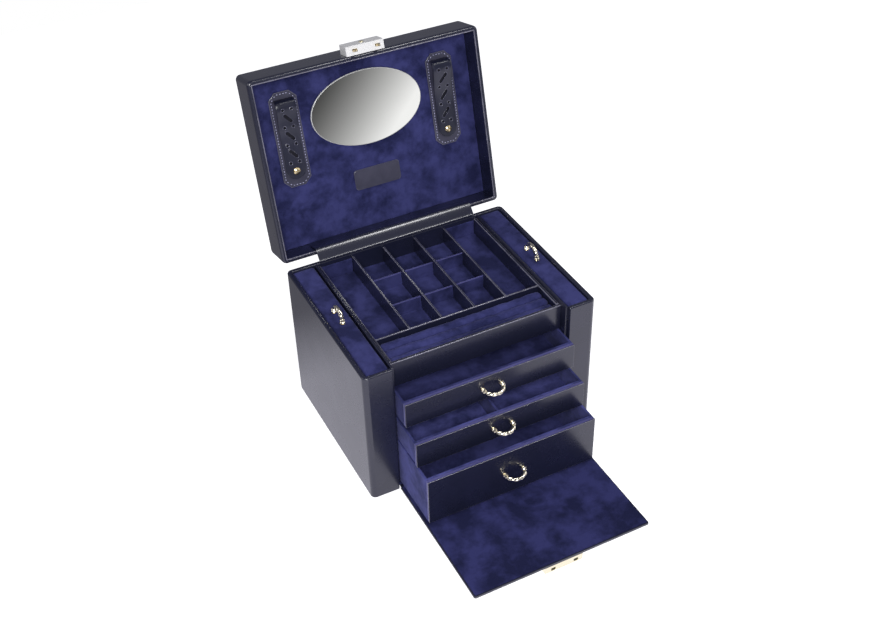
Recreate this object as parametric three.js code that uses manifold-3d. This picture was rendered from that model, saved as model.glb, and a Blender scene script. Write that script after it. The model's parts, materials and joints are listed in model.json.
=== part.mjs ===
// Jewellery case: leather-covered carcass with a hinged lid, a drop front, three drawers,
// a compartment tray and a pull-up necklace panel in each side pillar.
// Millimetres, +Z up, +X to the right, the front faces -Y. The origin is the centre of the plinth's underside.
// The case stands open: lid back on its hinge, drop front down, drawers part way out.

import * as THREE from 'three';
import { mergeVertices } from 'three/addons/utils/BufferGeometryUtils.js';
import Module from 'manifold-3d';

const wasm = await Module();
wasm.setup();

// ---- driving dimensions ----
const caseWidth = 300;
const caseDepth = 230;
const caseHeight = 187;
const plinthHeight = 10;
const wall = 6; // covered carcass board
const cornerRadius = 5.5;
const fit = 0.3; // clearance between pieces that touch
const pillarWidth = 35.5;
const lidHeight = 48;
const lidGap = 1;
const lidOpenAngle = 104;
const trayWallTop = 183; // above the underside of the carcass
const trayFloorTop = 160.3;
const drawerWidth = 221;
const drawerLength = 198.5;
const drawerFrontThickness = 5;
const boxBoard = 3;
const closedDrawerFront = -94.8;
const flapThickness = 2.8;
const flapLiningThickness = 0.7;

const halfWidth = caseWidth / 2;
const halfDepth = caseDepth / 2;
const baseZ = plinthHeight;
const rimZ = baseZ + caseHeight;
const pillarInner = halfWidth - pillarWidth;
const innerFront = -halfDepth + wall;
const innerBack = halfDepth - wall;
const innerSide = halfWidth - wall;

// how far each drawer front stands in front of the pillars, and its height range above the carcass underside
const drawers = [
  { name: 'drawer_1', out: 19, frontLow: 113.7, boxLow: 113.7, top: 147.5 },
  { name: 'drawer_2', out: 44, frontLow: 72.5, boxLow: 76.7, top: 107 },
  { name: 'drawer_3', out: 71, frontLow: 6.6, boxLow: 6.6, top: 72 },
];

const hingeY = halfDepth + 4;
const hingeZ = rimZ + lidGap;
const liningZ = hingeZ + 28.5; // face of the lid lining with the lid closed

// ---- materials ----
const finish = (color, roughness, metalness = 0) => new THREE.MeshStandardMaterial({ color, roughness, metalness });
const leather = finish(0x1d2036, 0.38);
const velvet = finish(0x2e2f66, 0.95);
const felt = finish(0x17181f, 0.95);
const brass = finish(0xd8c48c, 0.25, 1);
const silver = finish(0xd9d8d2, 0.2, 1);
const glass = finish(0xc8ccd0, 0.03, 1);

// ---- shape helpers ----
const box = (x0, x1, y0, y1, z0, z1) =>
  new THREE.BoxGeometry(x1 - x0, y1 - y0, z1 - z0).translate((x0 + x1) / 2, (y0 + y1) / 2, (z0 + z1) / 2);

const extrude = (points, depth) =>
  new THREE.ExtrudeGeometry(new THREE.Shape(points), { depth, bevelEnabled: false, steps: 1 });

// outline in X and Y, raised from z0 to z1
const slab = (points, z0, z1) => extrude(points, z1 - z0).translate(0, 0, z0);

// outline in X and Z, run from y0 to y1
const alongY = (points, y0, y1) => extrude(points, y1 - y0).rotateX(Math.PI / 2).translate(0, y1, 0);

// outline in Y and Z, run from x0 to x1
const yzToWorld = new THREE.Matrix4().makeBasis(
  new THREE.Vector3(0, 1, 0), new THREE.Vector3(0, 0, 1), new THREE.Vector3(1, 0, 0));
const alongX = (points, x0, x1) => extrude(points, x1 - x0).applyMatrix4(yzToWorld).translate(x0, 0, 0);

const v2 = (x, y) => new THREE.Vector2(x, y);

function arc(cx, cy, radius, fromDeg, toDeg, steps) {
  return Array.from({ length: steps + 1 }, (_, i) => {
    const a = THREE.MathUtils.degToRad(fromDeg + (toDeg - fromDeg) * i / steps);
    return v2(cx + radius * Math.cos(a), cy + radius * Math.sin(a));
  });
}

function roundedRectangle(cx, cy, width, depth, radius, steps = 5) {
  const x = width / 2 - radius;
  const y = depth / 2 - radius;
  return [
    ...arc(cx + x, cy + y, radius, 0, 90, steps),
    ...arc(cx - x, cy + y, radius, 90, 180, steps),
    ...arc(cx - x, cy - y, radius, 180, 270, steps),
    ...arc(cx + x, cy - y, radius, 270, 360, steps),
  ];
}

// outline of an even thickness to one side of a polyline
function strip(line, thickness) {
  const offset = line.map((p, i) => {
    const before = line[Math.max(i - 1, 0)];
    const after = line[Math.min(i + 1, line.length - 1)];
    const t = v2(after.x - before.x, after.y - before.y).normalize();
    return v2(p.x - t.y * thickness, p.y + t.x * thickness);
  });
  return [...line, ...offset.reverse()];
}

function toSolid(geometry) {
  const g = geometry.clone();
  g.deleteAttribute('normal');
  g.deleteAttribute('uv');
  const merged = mergeVertices(g, 1e-4);
  return new wasm.Manifold(new wasm.Mesh({
    numProp: 3,
    vertProperties: new Float32Array(merged.attributes.position.array),
    triVerts: new Uint32Array(merged.index.array),
  }));
}

function toGeometry(solid) {
  const mesh = solid.getMesh();
  const g = new THREE.BufferGeometry();
  g.setAttribute('position', new THREE.BufferAttribute(new Float32Array(mesh.vertProperties), 3));
  g.setIndex(new THREE.BufferAttribute(new Uint32Array(mesh.triVerts), 1));
  g.computeVertexNormals();
  return g;
}

const cut = (geometry, ...tools) =>
  toGeometry(tools.reduce((solid, tool) => solid.subtract(toSolid(tool)), toSolid(geometry)));
const join = (geometry, ...others) =>
  toGeometry(others.reduce((solid, other) => solid.add(toSolid(other)), toSolid(geometry)));
const common = (geometry, other) => toGeometry(toSolid(geometry).intersect(toSolid(other)));

const object = new THREE.Group();
const lidTurned = new THREE.Group(); // turns about the hinge axis
const lid = new THREE.Group(); // the lid's pieces, in the places they have when it is closed
lidTurned.position.set(0, hingeY, hingeZ);
lidTurned.rotation.x = -THREE.MathUtils.degToRad(lidOpenAngle);
lid.position.set(0, -hingeY, -hingeZ);
lidTurned.add(lid);
object.add(lidTurned);

function add(name, geometry, material, parent = object) {
  const mesh = new THREE.Mesh(geometry, material);
  mesh.name = name;
  parent.add(mesh);
  return mesh;
}

const sides = [{ side: 'left', sign: -1 }, { side: 'right', sign: 1 }];

// a box mirrored to one side: the X values are distances from the middle plane
const sideBox = (sign, near, far, y0, y1, z0, z1) =>
  box(Math.min(sign * near, sign * far), Math.max(sign * near, sign * far), y0, y1, z0, z1);

// a point of the closed lid's Y-Z plane, where it stands with the lid open
function openLidPoint(y, z) {
  const a = -THREE.MathUtils.degToRad(lidOpenAngle);
  const dy = y - hingeY;
  const dz = z - hingeZ;
  return v2(hingeY + dy * Math.cos(a) - dz * Math.sin(a), hingeZ + dy * Math.sin(a) + dz * Math.cos(a));
}

// ---- carcass ----
const baseTop = baseZ + 5;
const partitionNear = drawerWidth / 2 + 0.8;
const partitionFar = pillarInner - fit;

function carcass() {
  add('plinth', slab(roundedRectangle(0, 2.5, 276, 201, 6), 0, baseZ - fit), felt);
  const floorSide = innerSide - fit;
  add('base_board', box(-floorSide, floorSide, innerFront + 0.1, innerBack - fit, baseZ, baseTop), velvet);
  for (const { side, sign } of sides) {
    add(`${side}_wall`, sideBox(sign, innerSide, halfWidth, innerFront + 0.1, innerBack - fit, baseZ, rimZ), leather);
    const corner = arc(halfWidth - cornerRadius, -halfDepth + cornerRadius, cornerRadius, -90, 0, 6);
    const pillar = [v2(pillarInner, -halfDepth), ...corner, v2(halfWidth, innerFront - 0.2), v2(pillarInner, innerFront - 0.2)];
    add(`${side}_pillar`, slab(pillar.map((p) => v2(sign * p.x, p.y)), baseZ, rimZ), leather);
    add(`${side}_partition`,
      sideBox(sign, partitionNear, partitionFar, -halfDepth + 4.7, innerBack - fit, baseTop + fit, rimZ - 0.5), leather);
  }
  const backCorner = (sign) => arc(sign * (halfWidth - cornerRadius), halfDepth - cornerRadius, cornerRadius,
    sign > 0 ? 0 : 90, sign > 0 ? 90 : 180, 6);
  const back = [v2(halfWidth, innerBack), ...backCorner(1), ...backCorner(-1), v2(-halfWidth, innerBack)];
  add('back_wall', slab(back, baseZ, rimZ), leather);
  const shelfSide = partitionNear - fit;
  add('lower_shelf', box(-shelfSide, shelfSide, closedDrawerFront + 5.8, innerBack - fit, baseZ + 73.2, baseZ + 76.2), velvet);
  add('upper_shelf', box(-shelfSide, shelfSide, closedDrawerFront, innerBack - fit, baseZ + 107.9, baseZ + 113.1), leather);
}

// ---- compartment tray ----
const trayFloorZ = baseZ + trayFloorTop;
const trayTopZ = baseZ + trayWallTop;
const trayOuter = partitionNear - 0.4;
const trayInner = 107;
const fasciaFront = -100;
const fasciaBack = fasciaFront + 4;
const dividerThickness = 2.4;
const ringDividerY = -53.2;
const cellBack = innerBack - 0.5;
const columnX = [-63.5, -21.5, 21.5, 63.5];
const cellFront = ringDividerY + dividerThickness / 2 + fit;
const rowPitch = (cellBack - cellFront + dividerThickness) / 3;
const rowY = [cellFront + rowPitch - dividerThickness / 2, cellFront + 2 * rowPitch - dividerThickness / 2];

function tray() {
  const standing = trayFloorZ + fit;
  add('tray_floor', box(-trayOuter, trayOuter, fasciaBack + fit, innerBack - fit, trayFloorZ - 3.8, trayFloorZ), velvet);
  add('tray_front', box(-trayOuter, trayOuter, fasciaFront, fasciaBack, baseZ + 148.7, trayTopZ), leather);
  for (const { side, sign } of sides) {
    add(`tray_${side}_wall`, sideBox(sign, trayInner, trayOuter, fasciaBack + fit, innerBack - fit, standing, trayTopZ), leather);
  }
  add('ring_section_divider', box(-trayInner + fit, trayInner - fit,
    ringDividerY - dividerThickness / 2, ringDividerY + dividerThickness / 2, standing, trayTopZ), leather);

  // the inner long dividers and the two cross dividers are half-lapped
  const lapZ = standing + 9;
  const lapGap = dividerThickness / 2 + 0.4;
  columnX.forEach((x, i) => {
    const board = box(x - dividerThickness / 2, x + dividerThickness / 2, cellFront, cellBack, standing, trayTopZ);
    const laps = rowY.map((y) => box(x - 4, x + 4, y - lapGap, y + lapGap, standing - 1, lapZ + 0.6));
    add(`tray_divider_${i + 1}`, Math.abs(x) < 30 ? cut(board, ...laps) : board, leather);
  });
  const crossEnd = 63.5 - dividerThickness / 2 - fit;
  rowY.forEach((y, i) => {
    const board = box(-crossEnd, crossEnd, y - dividerThickness / 2, y + dividerThickness / 2, standing, trayTopZ - 4.5);
    const laps = [-21.5, 21.5].map((x) => box(x - lapGap, x + lapGap, y - 4, y + 4, lapZ, trayTopZ));
    add(`cross_divider_${i + 1}`, cut(board, ...laps), velvet);
  });

  // three soft rolls side by side that grip rings between them
  const ringFront = fasciaBack + fit;
  const ringBack = ringDividerY - dividerThickness / 2 - fit;
  const rollWidth = (ringBack - ringFront) / 3;
  const crest = baseZ + 178.5 - rollWidth / 2;
  const rolls = [0, 1, 2].flatMap((i) => arc(ringBack - (i + 0.5) * rollWidth, crest, rollWidth / 2, 12, 168, 8));
  add('ring_cushion', alongX([v2(ringFront, standing), v2(ringBack, standing), ...rolls], -trayInner + fit, trayInner - fit), velvet);
}

// ---- half-ring pull: two collars and a bow; base at the origin, bow towards +Y ----
const pullRadius = 12.3;
const pullBar = 2.35;
const pullCollar = 1.2;

function pullGeometry() {
  const bow = new THREE.CatmullRomCurve3(
    arc(0, pullCollar, pullRadius, 180, 0, 14).map((p) => new THREE.Vector3(p.x, p.y, 0)));
  const section = new THREE.Shape(arc(0, 0, pullBar, 0, 315, 7));
  const bar = new THREE.ExtrudeGeometry(section, { steps: 16, extrudePath: bow, bevelEnabled: false });
  const collarOutline = [v2(0, 0), v2(3.2, 0), v2(3.2, 1), v2(2.7, 2.2), v2(2, 3.4), v2(0, 3.4)];
  const collar = (x) => new THREE.LatheGeometry(collarOutline, 10).translate(x, 0, 0);
  return join(bar, collar(-pullRadius), collar(pullRadius));
}

// ---- drawers ----
function drawer({ name, out, frontLow, boxLow, top }) {
  const frontY = -halfDepth - out;
  const half = drawerWidth / 2;
  const backOfFront = frontY + drawerFrontThickness;
  const boxEnd = frontY + drawerLength;
  const low = baseZ + boxLow;
  const high = baseZ + top;
  add(`${name}_front`, box(-half, half, frontY, backOfFront, baseZ + frontLow, high), leather);
  const outer = box(-half, half, backOfFront + fit, boxEnd, low, high);
  const hollow = box(-half + boxBoard, half - boxBoard, frontY, boxEnd - boxBoard, low + boxBoard, high + 1);
  add(`${name}_box`, cut(outer, hollow), velvet);
  const pull = add(`${name}_pull`, pullGeometry(), brass);
  pull.rotation.z = Math.PI;
  pull.position.set(0, frontY - fit, baseZ + (frontLow + top) / 2);
}

function drawerDivider() {
  const { out, boxLow } = drawers[1];
  const frontY = -halfDepth - out;
  const floor = baseZ + boxLow + boxBoard + fit;
  add('drawer_2_divider', box(-1.5, 1.5, frontY + drawerFrontThickness + 2 * fit, frontY + drawerLength - boxBoard - fit,
    floor, floor + 24), velvet);
}

// ---- pull-up necklace panels ----
const capTop = rimZ - 0.7;
const capThickness = 3.8;
const capNear = 116.6;
const capFar = 142.8;
const boardNear = 121;
const boardFar = 125;

function necklacePanel({ side, sign }) {
  const capLow = capTop - capThickness;
  const tee = [v2(capNear, capLow), v2(boardNear, capLow), v2(boardNear, 20), v2(boardFar, 20),
    v2(boardFar, capLow), v2(capFar, capLow), v2(capFar, capTop), v2(capNear, capTop)];
  add(`${side}_necklace_panel`, alongY(tee.map((p) => v2(sign * p.x, p.y)), innerFront + 0.5, innerBack - 0.7), velvet);

  const railNear = boardFar + fit;
  const hookCount = 6;
  const hookPitch = 34;
  const firstHook = -hookPitch * (hookCount - 1) / 2;
  const railHalf = 7 - firstHook;
  let rail = sideBox(sign, railNear, railNear + 1.5, -railHalf, railHalf, capLow - 16, capLow - 10);
  const hooks = Array.from({ length: hookCount }, (_, i) => {
    const y = firstHook + i * hookPitch;
    const hook = [v2(railNear + 1, capLow - 15), v2(railNear + 8, capLow - 15), v2(railNear + 8, capLow - 10.5),
      v2(railNear + 6.2, capLow - 10.5), v2(railNear + 6.2, capLow - 13), v2(railNear + 1, capLow - 13)];
    return alongY(hook.map((p) => v2(sign * p.x, p.y)), y - 1, y + 1);
  });
  rail = join(rail, ...hooks);
  add(`${side}_hook_rail`, rail, brass);

  const pull = add(`${side}_panel_pull`, pullGeometry().applyMatrix4(yzToWorld), brass);
  pull.position.set(sign * (capNear + capFar) / 2, 0, capTop + fit);
}

// ---- drop front ----
const flapHalf = pillarInner - 0.6;
const flapRoot = -halfDepth - 0.6;
const flapEnd = -halfDepth - caseHeight + 0.4;
const lockHalf = 24.5;
const hookX = [-14.7, 14.7];
const strikeProud = plinthHeight - fit;

function dropFront() {
  add('flap_board', box(-flapHalf, flapHalf, flapEnd, flapRoot, baseZ, baseZ + flapThickness), leather);
  add('flap_lining', box(-flapHalf + 1.6, flapHalf - 1.6, flapEnd + 1.6, flapRoot - 1, baseZ + flapThickness + fit,
    baseZ + flapThickness + fit + flapLiningThickness), velvet);
  const strike = box(-lockHalf, lockHalf, flapEnd, flapEnd + 14, 0, strikeProud);
  const mouths = hookX.map((x) => box(x - 1.8, x + 3.8, flapEnd - 1, flapEnd + 3, 2.2, 5.8));
  const pockets = hookX.map((x) => box(x - 1.8, x + 7.2, flapEnd + 1.2, flapEnd + 9, 2.2, 5.8));
  add('strike_box', cut(strike, ...mouths, ...pockets), brass);
  add('flap_hinge_strip', box(-flapHalf + 2, flapHalf - 2, flapRoot - 9, innerFront + 7, baseZ - 1, baseZ - fit), leather);
}

// ---- back hinge: interleaved knuckles about one pin ----
const knuckles = 10;
const knucklePitch = 19;
const knuckleRadius = 2.6;
const boreRadius = 1.5;
const pinRadius = 1.2;
const hingeHalf = knuckles * knucklePitch / 2;
const leafInner = halfDepth + fit;
const leafOuter = leafInner + 1.2;

// up is 1 for the lid's leaf and -1 for the case's leaf; odd picks its knuckles
function hingeLeaf(up, odd) {
  const z = (near, far) => [Math.min(hingeZ + up * near, hingeZ + up * far), Math.max(hingeZ + up * near, hingeZ + up * far)];
  const circle = (radius) => arc(hingeY, hingeZ, radius, 0, 330, 11);
  const pieces = [];
  const bores = [];
  for (let i = odd; i < knuckles; i += 2) {
    const x0 = -hingeHalf + i * knucklePitch + 0.25;
    const x1 = x0 + knucklePitch - 0.5;
    pieces.push(box(x0, x1, leafInner, leafOuter + 1, ...z(0, 4)));
    pieces.push(alongX(circle(knuckleRadius), x0, x1));
    bores.push(alongX(circle(boreRadius), x0 - 1, x1 + 1));
  }
  const plate = box(-hingeHalf + 0.25, hingeHalf - 0.25, leafInner, leafOuter, ...z(3, 18));
  return cut(join(plate, ...pieces), ...bores);
}

function backHinge() {
  add('hinge_case_leaf', hingeLeaf(-1, 0), brass);
  add('hinge_lid_leaf', hingeLeaf(1, 1), brass, lid);
  add('hinge_pin', alongX(arc(hingeY, hingeZ, pinRadius, 0, 330, 11), -hingeHalf, hingeHalf), brass);
}

// leather band that bridges the back wall's rim and the lid's back wall and holds the lid at its stop
function hingeBand() {
  const beside = innerBack - 0.45; // line beside the lid's inner back wall
  const below = hingeZ - 0.45; // line below the lid's rim
  const line = [v2(innerBack + 0.2, rimZ + 0.4), v2(innerBack + 4, rimZ + 0.5), v2(innerBack + 6.4, rimZ + 2.6),
    v2(innerBack + 8.4, rimZ + 6), openLidPoint(innerBack + 2.4, below - 0.6), openLidPoint(innerBack + 0.3, below),
    openLidPoint(beside, below + 0.3), openLidPoint(beside, liningZ - 2)];
  add('hinge_band', alongX(strip(line, 1.2), -106, 106), leather);
}

// ---- lid, closed ----
const patchX = 103.5;
const patchY = -28;
const patchFace = liningZ - 1.8;

function lidShell() {
  const shell = slab(roundedRectangle(0, 0, caseWidth, caseDepth, cornerRadius, 6), hingeZ, hingeZ + lidHeight);
  const hollow = box(-innerSide, innerSide, innerFront, innerBack, hingeZ - 1, hingeZ + lidHeight - wall);
  add('lid_shell', cut(shell, hollow), leather, lid);
  add('lid_lining', box(-innerSide + 0.4, innerSide - 0.4, innerFront + 0.4, innerBack - 0.4, liningZ, liningZ + 3), velvet, lid);
}

// oval mirror and blank label on the lining, on the lid's middle line
const mirrorY = -43.2;
const mirrorHalfWidth = 73.4;
const mirrorHalfHeight = 46.4;
const mirrorThickness = 1.7;
const mirrorSides = 44;
const labelY = 46;
const labelWidth = 62;
const labelHeight = 26;
const labelCorner = 4;
const labelThickness = 1;

function mirror() {
  const oval = Array.from({ length: mirrorSides }, (_, i) => {
    const a = 2 * Math.PI * i / mirrorSides;
    return v2(mirrorHalfWidth * Math.cos(a), mirrorY + mirrorHalfHeight * Math.sin(a));
  });
  add('mirror', slab(oval, liningZ - fit - mirrorThickness, liningZ - fit), glass, lid);
}

function nameplate() {
  const outline = roundedRectangle(0, labelY, labelWidth, labelHeight, labelCorner, 4);
  add('blank_label', slab(outline, liningZ - fit - labelThickness, liningZ - fit), leather, lid);
}

// stitched octagonal patch with a snap-down loop strap that arches away from it at its fixed end
const patchHalfWidth = 17.8;
const patchHalfLength = 59.5;
const patchChamfer = 8.5;
const strapHalf = 12.5;
const strapThickness = 2;
const strapTip = 49.5; // from the patch's middle
const snapPlace = 39.5; // from the patch's middle

function strapHolder({ side, sign }) {
  const x = sign * patchX;
  const corners = [[1, 1], [-1, 1], [-1, -1], [1, -1]].flatMap(([sx, sy]) => {
    const onEnd = v2(x + sx * (patchHalfWidth - patchChamfer), patchY + sy * patchHalfLength);
    const onSide = v2(x + sx * patchHalfWidth, patchY + sy * (patchHalfLength - patchChamfer));
    return sx * sy > 0 ? [onSide, onEnd] : [onEnd, onSide];
  });
  add(`${side}_strap_patch`, slab(corners, patchFace, liningZ - fit), leather, lid);

  // distance along the patch from its middle, and height of the strap's underside over the patch
  const rise = new THREE.SplineCurve([v2(-51, 0.4), v2(-49.5, 4), v2(-44, 7.8), v2(-36, 8.4), v2(-25, 5.8),
    v2(-12, 2), v2(0, 0.7), v2(14, 0.4), v2(50, 0.4)]);
  const line = rise.getPoints(22).map((p) => v2(patchY + p.x, patchFace - p.y));
  const ribbon = alongX(strip(line, -strapThickness), x - strapHalf, x + strapHalf);
  const tipY = patchY + strapTip - strapHalf;
  const root = patchY - patchHalfLength;
  const plan = [v2(x - strapHalf, root), v2(x + strapHalf, root), ...arc(x, tipY, strapHalf, 0, 180, 14)];
  add(`${side}_strap`, common(ribbon, slab(plan, patchFace - 20, patchFace + 1)), leather, lid);

  const snapOutline = [v2(0, 0), v2(4.4, 0), v2(4.2, 0.9), v2(3, 1.8), v2(0, 2.2)];
  const snap = new THREE.LatheGeometry(snapOutline, 16).rotateX(-Math.PI / 2);
  add(`${side}_snap`, snap.translate(x, patchY + snapPlace, patchFace - strapThickness - 0.4 - fit), brass, lid);
}

// ---- lock on the lid's front: hollow case, hook slide and key barrel ----
function lock() {
  const y0 = -halfDepth - 11.8;
  const y1 = -halfDepth - fit;
  const caseTop = hingeZ + 20;
  const barrelZ = hingeZ + 10;
  const body = box(-lockHalf, lockHalf, y0, y1, hingeZ, caseTop);
  const pocket = box(-lockHalf + 2, lockHalf - 2, y0 + 1.6, y1 + 1, hingeZ + 1.6, caseTop - 1.6);
  const slots = hookX.map((x) => box(x - 1.6, x + 4.9, -halfDepth - 7.7, -halfDepth - 4.5, hingeZ - 1, hingeZ + 2));
  const barrelHole = new THREE.CylinderGeometry(3.2, 3.2, 6, 16).translate(0, y0, barrelZ);
  add('lock_case', cut(body, pocket, ...slots, barrelHole), silver, lid);

  const plate = box(-20.5, 18.5, -halfDepth - 7.3, -halfDepth - 5, hingeZ + 2.2, hingeZ + 13);
  const hooks = hookX.flatMap((x) => [
    box(x - 1.1, x + 1.1, -halfDepth - 7, -halfDepth - 5.2, hingeZ - 4.8, hingeZ + 3),
    box(x, x + 3.1, -halfDepth - 7, -halfDepth - 5.2, hingeZ - 4.8, hingeZ - 2.8),
  ]);
  add('lock_hooks', join(plate, ...hooks), brass, lid);

  const barrel = new THREE.CylinderGeometry(2.9, 2.9, 3.8, 16).translate(0, y0 + 1.2, barrelZ);
  const keySlot = box(-0.6, 0.6, y0 - 2, y0 + 1.6, barrelZ - 1.8, barrelZ + 1.8);
  add('key_barrel', cut(barrel, keySlot), brass, lid);
}

carcass();
tray();
drawers.forEach(drawer);
drawerDivider();
sides.forEach(necklacePanel);
dropFront();
backHinge();
hingeBand();
lidShell();
mirror();
nameplate();
sides.forEach(strapHolder);
lock();

export default object;
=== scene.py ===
import json
import math
import random

import bmesh
import bpy
from mathutils import Matrix, Vector


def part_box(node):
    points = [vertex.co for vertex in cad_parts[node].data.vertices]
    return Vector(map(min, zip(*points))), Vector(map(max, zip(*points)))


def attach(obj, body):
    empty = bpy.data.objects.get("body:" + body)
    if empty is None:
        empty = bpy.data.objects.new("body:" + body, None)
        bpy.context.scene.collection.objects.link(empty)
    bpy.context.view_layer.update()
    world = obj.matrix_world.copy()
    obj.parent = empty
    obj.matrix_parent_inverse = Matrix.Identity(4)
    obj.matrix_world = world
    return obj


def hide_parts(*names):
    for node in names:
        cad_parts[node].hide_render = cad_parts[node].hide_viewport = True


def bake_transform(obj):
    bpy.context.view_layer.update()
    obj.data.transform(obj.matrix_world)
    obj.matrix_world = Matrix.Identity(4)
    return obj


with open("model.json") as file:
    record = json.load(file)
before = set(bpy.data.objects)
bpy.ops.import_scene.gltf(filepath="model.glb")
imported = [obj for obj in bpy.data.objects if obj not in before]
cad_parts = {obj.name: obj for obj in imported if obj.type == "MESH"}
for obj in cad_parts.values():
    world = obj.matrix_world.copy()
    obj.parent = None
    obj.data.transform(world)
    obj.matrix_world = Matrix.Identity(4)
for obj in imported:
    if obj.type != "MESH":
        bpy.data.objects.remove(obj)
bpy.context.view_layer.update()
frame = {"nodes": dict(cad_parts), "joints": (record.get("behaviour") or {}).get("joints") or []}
nodes = frame["nodes"]
joints = {joint["name"]: joint for joint in frame["joints"]}

# camera

camera = {
    "place": (-0.5182, -1.0663, 1.0943),
    "right": (0.889590, -0.456216, -0.022277),
    "down": (-0.298343, -0.543434, -0.784647),
    "forward": (0.345863, 0.704660, -0.619542),
    "lens": 50.51,
    "sensor": 36.0,
}


def placeCamera(spec):
    data = bpy.data.cameras.new("deskCamera")
    data.sensor_width = spec["sensor"]
    data.lens = spec["lens"]
    data.clip_start = 0.05
    data.clip_end = 60
    seen = bpy.data.objects.new("deskCamera", data)
    bpy.context.scene.collection.objects.link(seen)
    right, down, forward = (Vector(spec[k]) for k in ("right", "down", "forward"))
    turn = Matrix((right, -down, -forward)).transposed().to_4x4()
    seen.matrix_world = Matrix.Translation(spec["place"]) @ turn
    bpy.context.scene.camera = seen


placeCamera(camera)
print("camera placed")

# places

lidHinge = joints["lid_hinge"]
lidPivot = Vector(lidHinge["pos_m"])
lidOpen = math.radians(-lidHinge["range_deg"][0])
# closed lid to open lid: everything on the lid is drawn closed and turned open with this
lidTurn = Matrix.Translation(lidPivot) @ Matrix.Rotation(-lidOpen, 4, "X") @ Matrix.Translation(-lidPivot)


def mm(*values):
    return Vector([v / 1000 for v in values])


# shared node groups


def newGroup(name, inputs, outputs):
    group = bpy.data.node_groups.new(name, "ShaderNodeTree")
    for label, kind, start in inputs:
        socket = group.interface.new_socket(label, in_out="INPUT", socket_type=kind)
        socket.default_value = start
    for label, kind in outputs:
        group.interface.new_socket(label, in_out="OUTPUT", socket_type=kind)
    return group, group.nodes.new("NodeGroupInput"), group.nodes.new("NodeGroupOutput")


def addNode(tree, kind, values=None, **settings):
    node = tree.nodes.new(kind)
    for key, value in settings.items():
        setattr(node, key, value)
    for key, value in (values or {}).items():
        node.inputs[key].default_value = value
    return node


def wire(tree, *pairs):
    for start, end in pairs:
        tree.links.new(start, end)


def scaledPlace(group, entry, socket="Scale"):
    # texture place in metres times a scale in features per metre
    place = addNode(group, "ShaderNodeTexCoord")
    grow = addNode(group, "ShaderNodeVectorMath", operation="SCALE")
    wire(group, (place.outputs["Object"], grow.inputs[0]), (entry.outputs[socket], grow.inputs["Scale"]))
    return grow.outputs[0]


def makeNapGroup():
    # velvet nap: broad brushed clouds, small strokes and single fibres
    group, entry, leave = newGroup(
        "brushedNap",
        [("Scale", "NodeSocketFloat", 24.0), ("Contrast", "NodeSocketFloat", 1.0)],
        [("Clouds", "NodeSocketFloat"), ("Fibres", "NodeSocketFloat"), ("Height", "NodeSocketFloat")],
    )
    spot = scaledPlace(group, entry)
    clouds = addNode(group, "ShaderNodeTexNoise", {"Scale": 1.0, "Detail": 5.0, "Roughness": 0.58,
                                                   "Distortion": 0.2})
    strokes = addNode(group, "ShaderNodeTexNoise",
                      {"Scale": 4.2, "Detail": 2.5, "Roughness": 0.5, "Distortion": 0.3})
    fibres = addNode(group, "ShaderNodeTexNoise", {"Scale": 95.0, "Detail": 1.5, "Roughness": 0.6})
    for texture in (clouds, strokes, fibres):
        wire(group, (spot, texture.inputs["Vector"]))
    mixed = addNode(group, "ShaderNodeMath", {1: 0.26}, operation="MULTIPLY_ADD")
    wire(group, (strokes.outputs[0], mixed.inputs[0]), (clouds.outputs[0], mixed.inputs[2]))
    centred = addNode(group, "ShaderNodeMath", {1: 0.63}, operation="SUBTRACT")
    spread = addNode(group, "ShaderNodeMath", operation="MULTIPLY")
    tall = addNode(group, "ShaderNodeMath", {1: 3.1, 2: 0.5}, operation="MULTIPLY_ADD", use_clamp=True)
    wire(
        group,
        (mixed.outputs[0], centred.inputs[0]),
        (centred.outputs[0], spread.inputs[0]),
        (entry.outputs["Contrast"], spread.inputs[1]),
        (spread.outputs[0], tall.inputs[0]),
        (tall.outputs[0], leave.inputs["Clouds"]),
        (fibres.outputs[0], leave.inputs["Fibres"]),
    )
    height = addNode(group, "ShaderNodeMath", {1: 0.5}, operation="MULTIPLY_ADD")
    wire(
        group,
        (fibres.outputs[0], height.inputs[0]),
        (strokes.outputs[0], height.inputs[2]),
        (height.outputs[0], leave.inputs["Height"]),
    )
    return group


def makeGrainGroup():
    # leather grain: fine pebbles broken up by soft dents, and handled places that are a little smoother
    group, entry, leave = newGroup(
        "leatherGrain",
        [("Scale", "NodeSocketFloat", 900.0), ("Dents", "NodeSocketFloat", 0.5)],
        [("Height", "NodeSocketFloat"), ("Wear", "NodeSocketFloat"), ("Pores", "NodeSocketFloat")],
    )
    spot = scaledPlace(group, entry)
    pebbles = addNode(group, "ShaderNodeTexVoronoi", {"Scale": 1.0, "Randomness": 1.0}, feature="SMOOTH_F1")
    pebbles.inputs["Smoothness"].default_value = 0.45
    ripple = addNode(group, "ShaderNodeTexNoise", {"Scale": 0.08, "Detail": 3.0, "Roughness": 0.55})
    wear = addNode(group, "ShaderNodeTexNoise", {"Scale": 0.022, "Detail": 3.0, "Roughness": 0.6,
                                                 "Distortion": 0.4})
    for texture in (pebbles, ripple, wear):
        wire(group, (spot, texture.inputs["Vector"]))
    height = addNode(group, "ShaderNodeMath", operation="MULTIPLY_ADD")
    wire(
        group,
        (ripple.outputs[0], height.inputs[0]),
        (entry.outputs["Dents"], height.inputs[1]),
        (pebbles.outputs["Distance"], height.inputs[2]),
        (height.outputs[0], leave.inputs["Height"]),
        (pebbles.outputs["Distance"], leave.inputs["Pores"]),
    )
    soft = addNode(group, "ShaderNodeMapRange", {"From Min": 0.35, "From Max": 0.68, "To Min": 0.0,
                                                 "To Max": 1.0})
    wire(group, (wear.outputs[0], soft.inputs["Value"]), (soft.outputs[0], leave.inputs["Wear"]))
    return group


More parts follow.
